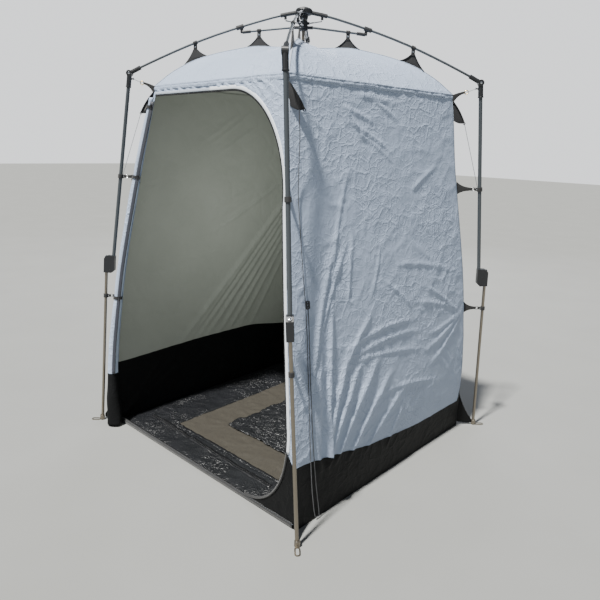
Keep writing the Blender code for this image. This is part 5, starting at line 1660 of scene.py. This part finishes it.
def on_line(line, z):
    first, second = line
    return between(first, second, (z - first.z) / (second.z - first.z))


def leg_tie(label, corner, line, z, tube_radius):
    """Gusset on the seam, strap, wire ring, second strap and a collar round the leg's tube."""
    spot = on_line(line, z)
    leg_reach = math.hypot(spot.x, spot.y) - tube_radius
    start = seam_reach(corner, z) - 0.002
    ring_reach = leg_reach - 0.024
    neck = ring_reach - 0.020
    name = label + "_" + corner
    top = bowed((start, z + 0.034), (neck, z + 0.0085), -0.006)
    bottom = bowed((neck, z - 0.0085), (start, z - 0.034), -0.006)
    diagonal_plate(name + "_gusset", corner, top + bottom, 0.0030, WEBBING)
    strap = [(neck - 0.010, z + 0.0082), (neck - 0.010, z - 0.0082), (ring_reach - 0.004, z - 0.0070),
             (ring_reach - 0.004, z + 0.0070)]
    diagonal_plate(name + "_strap", corner, strap, 0.0044, WEBBING)
    wire_ring(name + "_ring", diagonal_spot(corner, ring_reach, z, z), UP.cross(outward(corner, z)),
              0.0085, 0.0017, CHROME)
    far_strap = [(ring_reach + 0.004, z + 0.0070), (ring_reach + 0.004, z - 0.0070),
                 (leg_reach + 0.001, z - 0.0085), (leg_reach + 0.001, z + 0.0085)]
    diagonal_plate(name + "_far_strap", corner, far_strap, 0.0044, WEBBING)
    along = line[1] - line[0]
    turned_part(name + "_collar", spot, along, collar_profile(tube_radius + 0.0004, tube_radius + 0.0042, 0.020),
                WEBBING)
    side = UP.cross(outward(corner, z))
    for sign in (1, -1):
        rivet = diagonal_spot(corner, leg_reach - 0.006, z, z) + side * sign * 0.0020
        turned_part(name + "_rivet_%s" % ("a" if sign > 0 else "b"), rivet, side * sign,
                    button_profile(0.0034, 0.0016), CHROME, 12)


def eaves_tie(corner):
    top_z, low_z = 1.789, 1.735
    ring_reach, ring_z = EAVES_RING
    upper = bowed((seam_reach(corner, top_z) - 0.003, top_z), (ring_reach - 0.006, ring_z + 0.005), 0.002)
    lower = bowed((ring_reach - 0.006, ring_z - 0.005), (seam_reach(corner, low_z) - 0.003, low_z), -0.014)
    diagonal_plate("eaves_tie_" + corner, corner, upper + lower, 0.0032, WEBBING)
    middle = diagonal_spot(corner, ring_reach, ring_z, ring_z)
    wire_ring("eaves_ring_" + corner, middle, UP.cross(outward(corner, ring_z)), 0.0085, 0.0019, BRASS)
    hook = diagonal_spot(corner, HOOK_SPOT[0], HOOK_SPOT[1], ring_z)
    start = middle + (hook - middle).normalized() * 0.008
    bars("eaves_cord_" + corner, [[start, between(start, hook, 0.5) - UP * 0.001, hook]], 0.0015, GREY_CORD)
    wire_ring("hook_loop_" + corner, hook, outward(corner, ring_z), 0.0046, 0.0014, GREY_CORD)


def guy_gusset(corner):
    swing = GUY_SWING.get(corner, 0.0)
    level = (GUY_TOP_Z + GUY_BASE_Z) / 2
    tip = (seam_reach(corner, GUY_BASE_Z) + GUY_WIDTH, GUY_BASE_Z + 0.002)
    top = (seam_reach(corner, GUY_TOP_Z) - 0.002, GUY_TOP_Z)
    root = (seam_reach(corner, GUY_BASE_Z) - 0.002, GUY_BASE_Z + 0.014)
    outer = bowed(top, tip, 0.006)
    base = bowed(tip, root, 0.007)
    diagonal_plate("guy_gusset_" + corner, corner, outer[:-1] + base, 0.0016, GUSSET_NET, swing)
    edge = [diagonal_spot(corner, reach, z, level, swing) for reach, z in outer]
    across = UP.cross((edge[-1] - edge[0]).normalized())
    binding = swept("guy_gusset_binding_" + corner, smooth_route(edge, 24), 0.0062, WEBBING, 8, across, 0.5)
    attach(binding, "root")
    low = [diagonal_spot(corner, reach, z, level, swing) for reach, z in base]
    bars("guy_gusset_hem_" + corner, [low], 0.0020, WEBBING)
    if not swing:
        leg = on_line(upper_leg_line(corner), 1.352)
        end = leg - outward(corner, 1.352) * 0.011
        bars("guy_cord_" + corner, [[edge[-1], end]], 0.0014, GREY_CORD)
    wire_ring("guy_loop_" + corner, edge[-1] - UP * 0.003, across, 0.0048, 0.0016, WEBBING)


def foot_tail(corner):
    line = lower_leg_line(corner)
    spot = on_line(line, 0.026)
    end = math.hypot(spot.x, spot.y) - 0.013
    top = bowed((seam_reach(corner, 0.215) - 0.002, 0.215), (end, 0.030), -0.010)
    bottom = bowed((end, 0.012), (seam_reach(corner, 0.03) - 0.002, 0.020), 0.004)
    diagonal_plate("foot_tail_" + corner, corner, top + bottom, 0.0022, BLACK_TAFFETA)
    hem = [diagonal_spot(corner, reach, z, 0.1) for reach, z in top]
    bars("foot_tail_hem_" + corner, [hem], 0.0018, WEBBING)


for corner in CORNERS:
    leg_tie("upper_tie", corner, upper_leg_line(corner), 1.345, 0.0095)
    leg_tie("lower_tie", corner, lower_leg_line(corner), 0.712, 0.008)
    eaves_tie(corner)
    guy_gusset(corner)
    foot_tail(corner)

# %% [markdown]
# ## Gussets that hang the roof
#
# Over each ridge two triangles of knitted net spread the pull of a strap over eight centimetres of
# seam. The inner one hangs from the stretcher, the outer one from the roof pole, each by a webbing
# loop with a rivet. The ridge itself is a narrow felled seam.

# %% Roof gussets and ridge seams
POLE_PATH = ((0.082, 2.1345), (0.115, 2.1275), (0.200, 2.1050), (0.307, 2.0740),
             (0.420, 2.0380), (0.542, 1.9935), (0.700, 1.9270), (0.840, 1.8630))
STRETCHER_ENDS = ((0.0468, 2.077), (0.286, 2.0525))
GUSSETS = (("inner", 0.152, 0.005, STRETCHER_ENDS), ("outer", 0.374, 0.0055, POLE_PATH))
GUSSET_HALF = 0.042


def ridge_pair(half):
    """Distance from the mast and height of the ridge where the roof's half side is this."""
    return math.sqrt(2) * half, roof_height(half, half) - CLOTH_INSET


def roof_gusset(label, corner, half, tube_radius, carrier):
    name = label + "_gusset_" + corner
    reach = math.sqrt(2) * half
    tube_z = interpolate(carrier, reach)
    slope = (interpolate(carrier, reach + 0.01) - interpolate(carrier, reach - 0.01)) / 0.02
    neck_z = tube_z - 0.030
    base = [ridge_pair(half - GUSSET_HALF + 2 * GUSSET_HALF * k / 8) for k in range(9)]
    right = bowed(base[-1], (reach + 0.0085, neck_z), 0.004)
    left = bowed((reach - 0.0085, neck_z), base[0], 0.004)
    outline = [(r, z - 0.002) for r, z in base] + right + left
    diagonal_plate(name + "_net", corner, outline, 0.0016, GUSSET_NET)
    for side, edge in (("out", right), ("in", left)):
        spots = [diagonal_spot(corner, r, z, tube_z) for r, z in edge]
        trim = swept(name + "_trim_" + side, spots, 0.0034, WEBBING, 6, UP.cross(outward(corner, tube_z)), 0.6)
        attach(trim, "root")
    strap = [(reach - 0.0095, neck_z - 0.006), (reach + 0.0095, neck_z - 0.006),
             (reach + 0.0088, tube_z - tube_radius + 0.001), (reach - 0.0088, tube_z - tube_radius + 0.001)]
    diagonal_plate(name + "_strap", corner, strap, 0.0046, WEBBING)
    middle = diagonal_spot(corner, reach, tube_z, tube_z)
    axis = outward(corner, tube_z) + UP * slope
    turned_part(name + "_loop", middle, axis, collar_profile(tube_radius + 0.0003, tube_radius + 0.0034, 0.020),
                WEBBING)
    side = UP.cross(outward(corner, tube_z))
    for sign in (1, -1):
        rivet = diagonal_spot(corner, reach, tube_z - tube_radius - 0.012, tube_z) + side * sign * 0.0022
        turned_part(name + "_rivet_%s" % ("a" if sign > 0 else "b"), rivet, side * sign,
                    button_profile(0.0036, 0.0016), CHROME, 12)


for corner in CORNERS:
    ridge = [corner_spot(corner, 0.52 * k / 30, roof_height(0.52 * k / 30, 0.52 * k / 30)) - UP * 0.0012
             for k in range(1, 31)]
    seam = swept("ridge_seam_" + corner, ridge, 0.0036, GREY_TAPE, 8, UP.cross(outward(corner, 1.9)), 0.45)
    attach(seam, "root")
    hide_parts("roof_tie_" + corner)
    for gusset in GUSSETS:
        roof_gusset(gusset[0], corner, *gusset[1:])

# %% [markdown]
# ## Buttons, rivets and feet
#
# The locks are pressed open through an oval metal button on their upper slope. Rivets carry the
# elbows. These small bright parts tell the eye how the frame works, so each sits on its solid.

# %% Lock buttons and rivets
LOCK_WIDTH = 0.056
LOCK_HEIGHT = 0.092
LOCK_CHAMFER = 0.016


def lock_axes(corner):
    """Middle of the lock, its outward axis and the lower tube's direction."""
    foot, knee = lower_leg_line(corner)
    rise = (knee - foot).normalized()
    out = outward(corner, KNEE_Z)
    first = (out - rise * out.dot(rise)).normalized()
    return knee - first * (TUBE_OFFSET / 2), first, rise


for corner in CORNERS:
    body = "root"
    middle, first, rise = lock_axes(corner)
    slope = (first + rise).normalized()
    spot = middle + first * (LOCK_WIDTH / 2 - LOCK_CHAMFER / 2) + rise * (LOCK_HEIGHT / 2 - LOCK_CHAMFER / 2)
    turned_part("lock_button_rim_" + corner, spot + slope * 0.0032, slope, collar_profile(0.0064, 0.0095, 0.003),
                CHROME, 24)
    turned_part("lock_button_" + corner, spot + slope * 0.0030, slope, button_profile(0.0060, 0.0022), CHROME, 24)
    for sign in (1, -1):
        across = first.cross(rise) * sign
        for drop in (0.0, -0.030):
            turned_part("lock_rivet_%s_%d_%s" % ("a" if sign > 0 else "b", round(-drop * 1000), corner),
                        middle + across * 0.0148 + rise * drop - first * 0.004, across,
                        button_profile(0.0036, 0.0014), NYLON, 12)
    pivot = corner_spot(corner, ELBOW_HALF, ELBOW_Z)
    side = UP.cross(outward(corner, ELBOW_Z))
    for sign in (1, -1):
        turned_part("elbow_rivet_%s_%s" % ("a" if sign > 0 else "b", corner), pivot + side * sign * 0.0128,
                    side * sign, button_profile(0.0052, 0.0020), CHROME, 16)
    top, bottom = upper_leg_line(corner)
    down = (bottom - top).normalized()
    turned_part("elbow_lip_" + corner, top + down * 0.0655, down, collar_profile(0.0100, 0.0138, 0.005), NYLON, 20)
crown_screw = turned_part("crown_screw", UP * 2.1675, UP, button_profile(0.0070, 0.0012), SATIN_STEEL, 6)
pull_line = [Vector((0.004, -0.003, 2.020)), Vector((0.006, -0.005, 2.010)), Vector((0.007, -0.006, 2.000))]
bars("pull_cord", [pull_line], 0.0015, WHITE_PLASTIC)
turned_part("pull_cord_end", Vector((0.007, -0.006, 1.992)), UP, [
    (0, 0), (0.003, 0.001), (0.0036, 0.005), (0.0022, 0.009), (0, 0.010)], WHITE_PLASTIC, 12)
turned_part("mast_end_cap", UP * 2.014, UP, [(0, 0), (0.0070, 0.0006), (0.0085, 0.002), (0.0085, 0.008),
                                            (0.0078, 0.009), (0, 0.009)], NYLON, 20)

# %% [markdown]
# ## Finishes of the frame
#
# The frame's solids already have their real shapes, so they only need the right finish. Slots are set
# on the objects themselves, one finish to each kind of part.

# %% Frame finishes
FRAME_FINISHES = (
    ("hub_crown", NYLON),
    ("mast", SATIN_STEEL),
    ("runner", NYLON),
    ("crown_link", POWDER_COAT),
    ("stretcher", POWDER_COAT),
    ("pole_bracket", NYLON),
    ("roof_pole", POWDER_COAT),
    ("elbow", NYLON),
    ("upper_leg", POWDER_COAT),
    ("leg_lock", NYLON),
    ("lower_leg", SATIN_STEEL),
    ("corner_webbing", WEBBING),
    ("roof_tie", WEBBING),
)
SLOT_FINISHES = {"black_webbing": WEBBING, "black_plastic": NYLON, "grey_steel": SATIN_STEEL}
finished = 0
for node_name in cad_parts:
    node_object = bpy.data.objects.get(node_name)
    for start, finish_material in FRAME_FINISHES:
        if node_object and node_name.startswith(start):
            for slot in node_object.material_slots:
                own = slot.material.name.split(".")[0] if slot.material else ""
                many = len(node_object.material_slots) > 1
                slot.material = SLOT_FINISHES.get(own, finish_material) if many else finish_material
            finished += 1
print("solids given a finish:", finished)
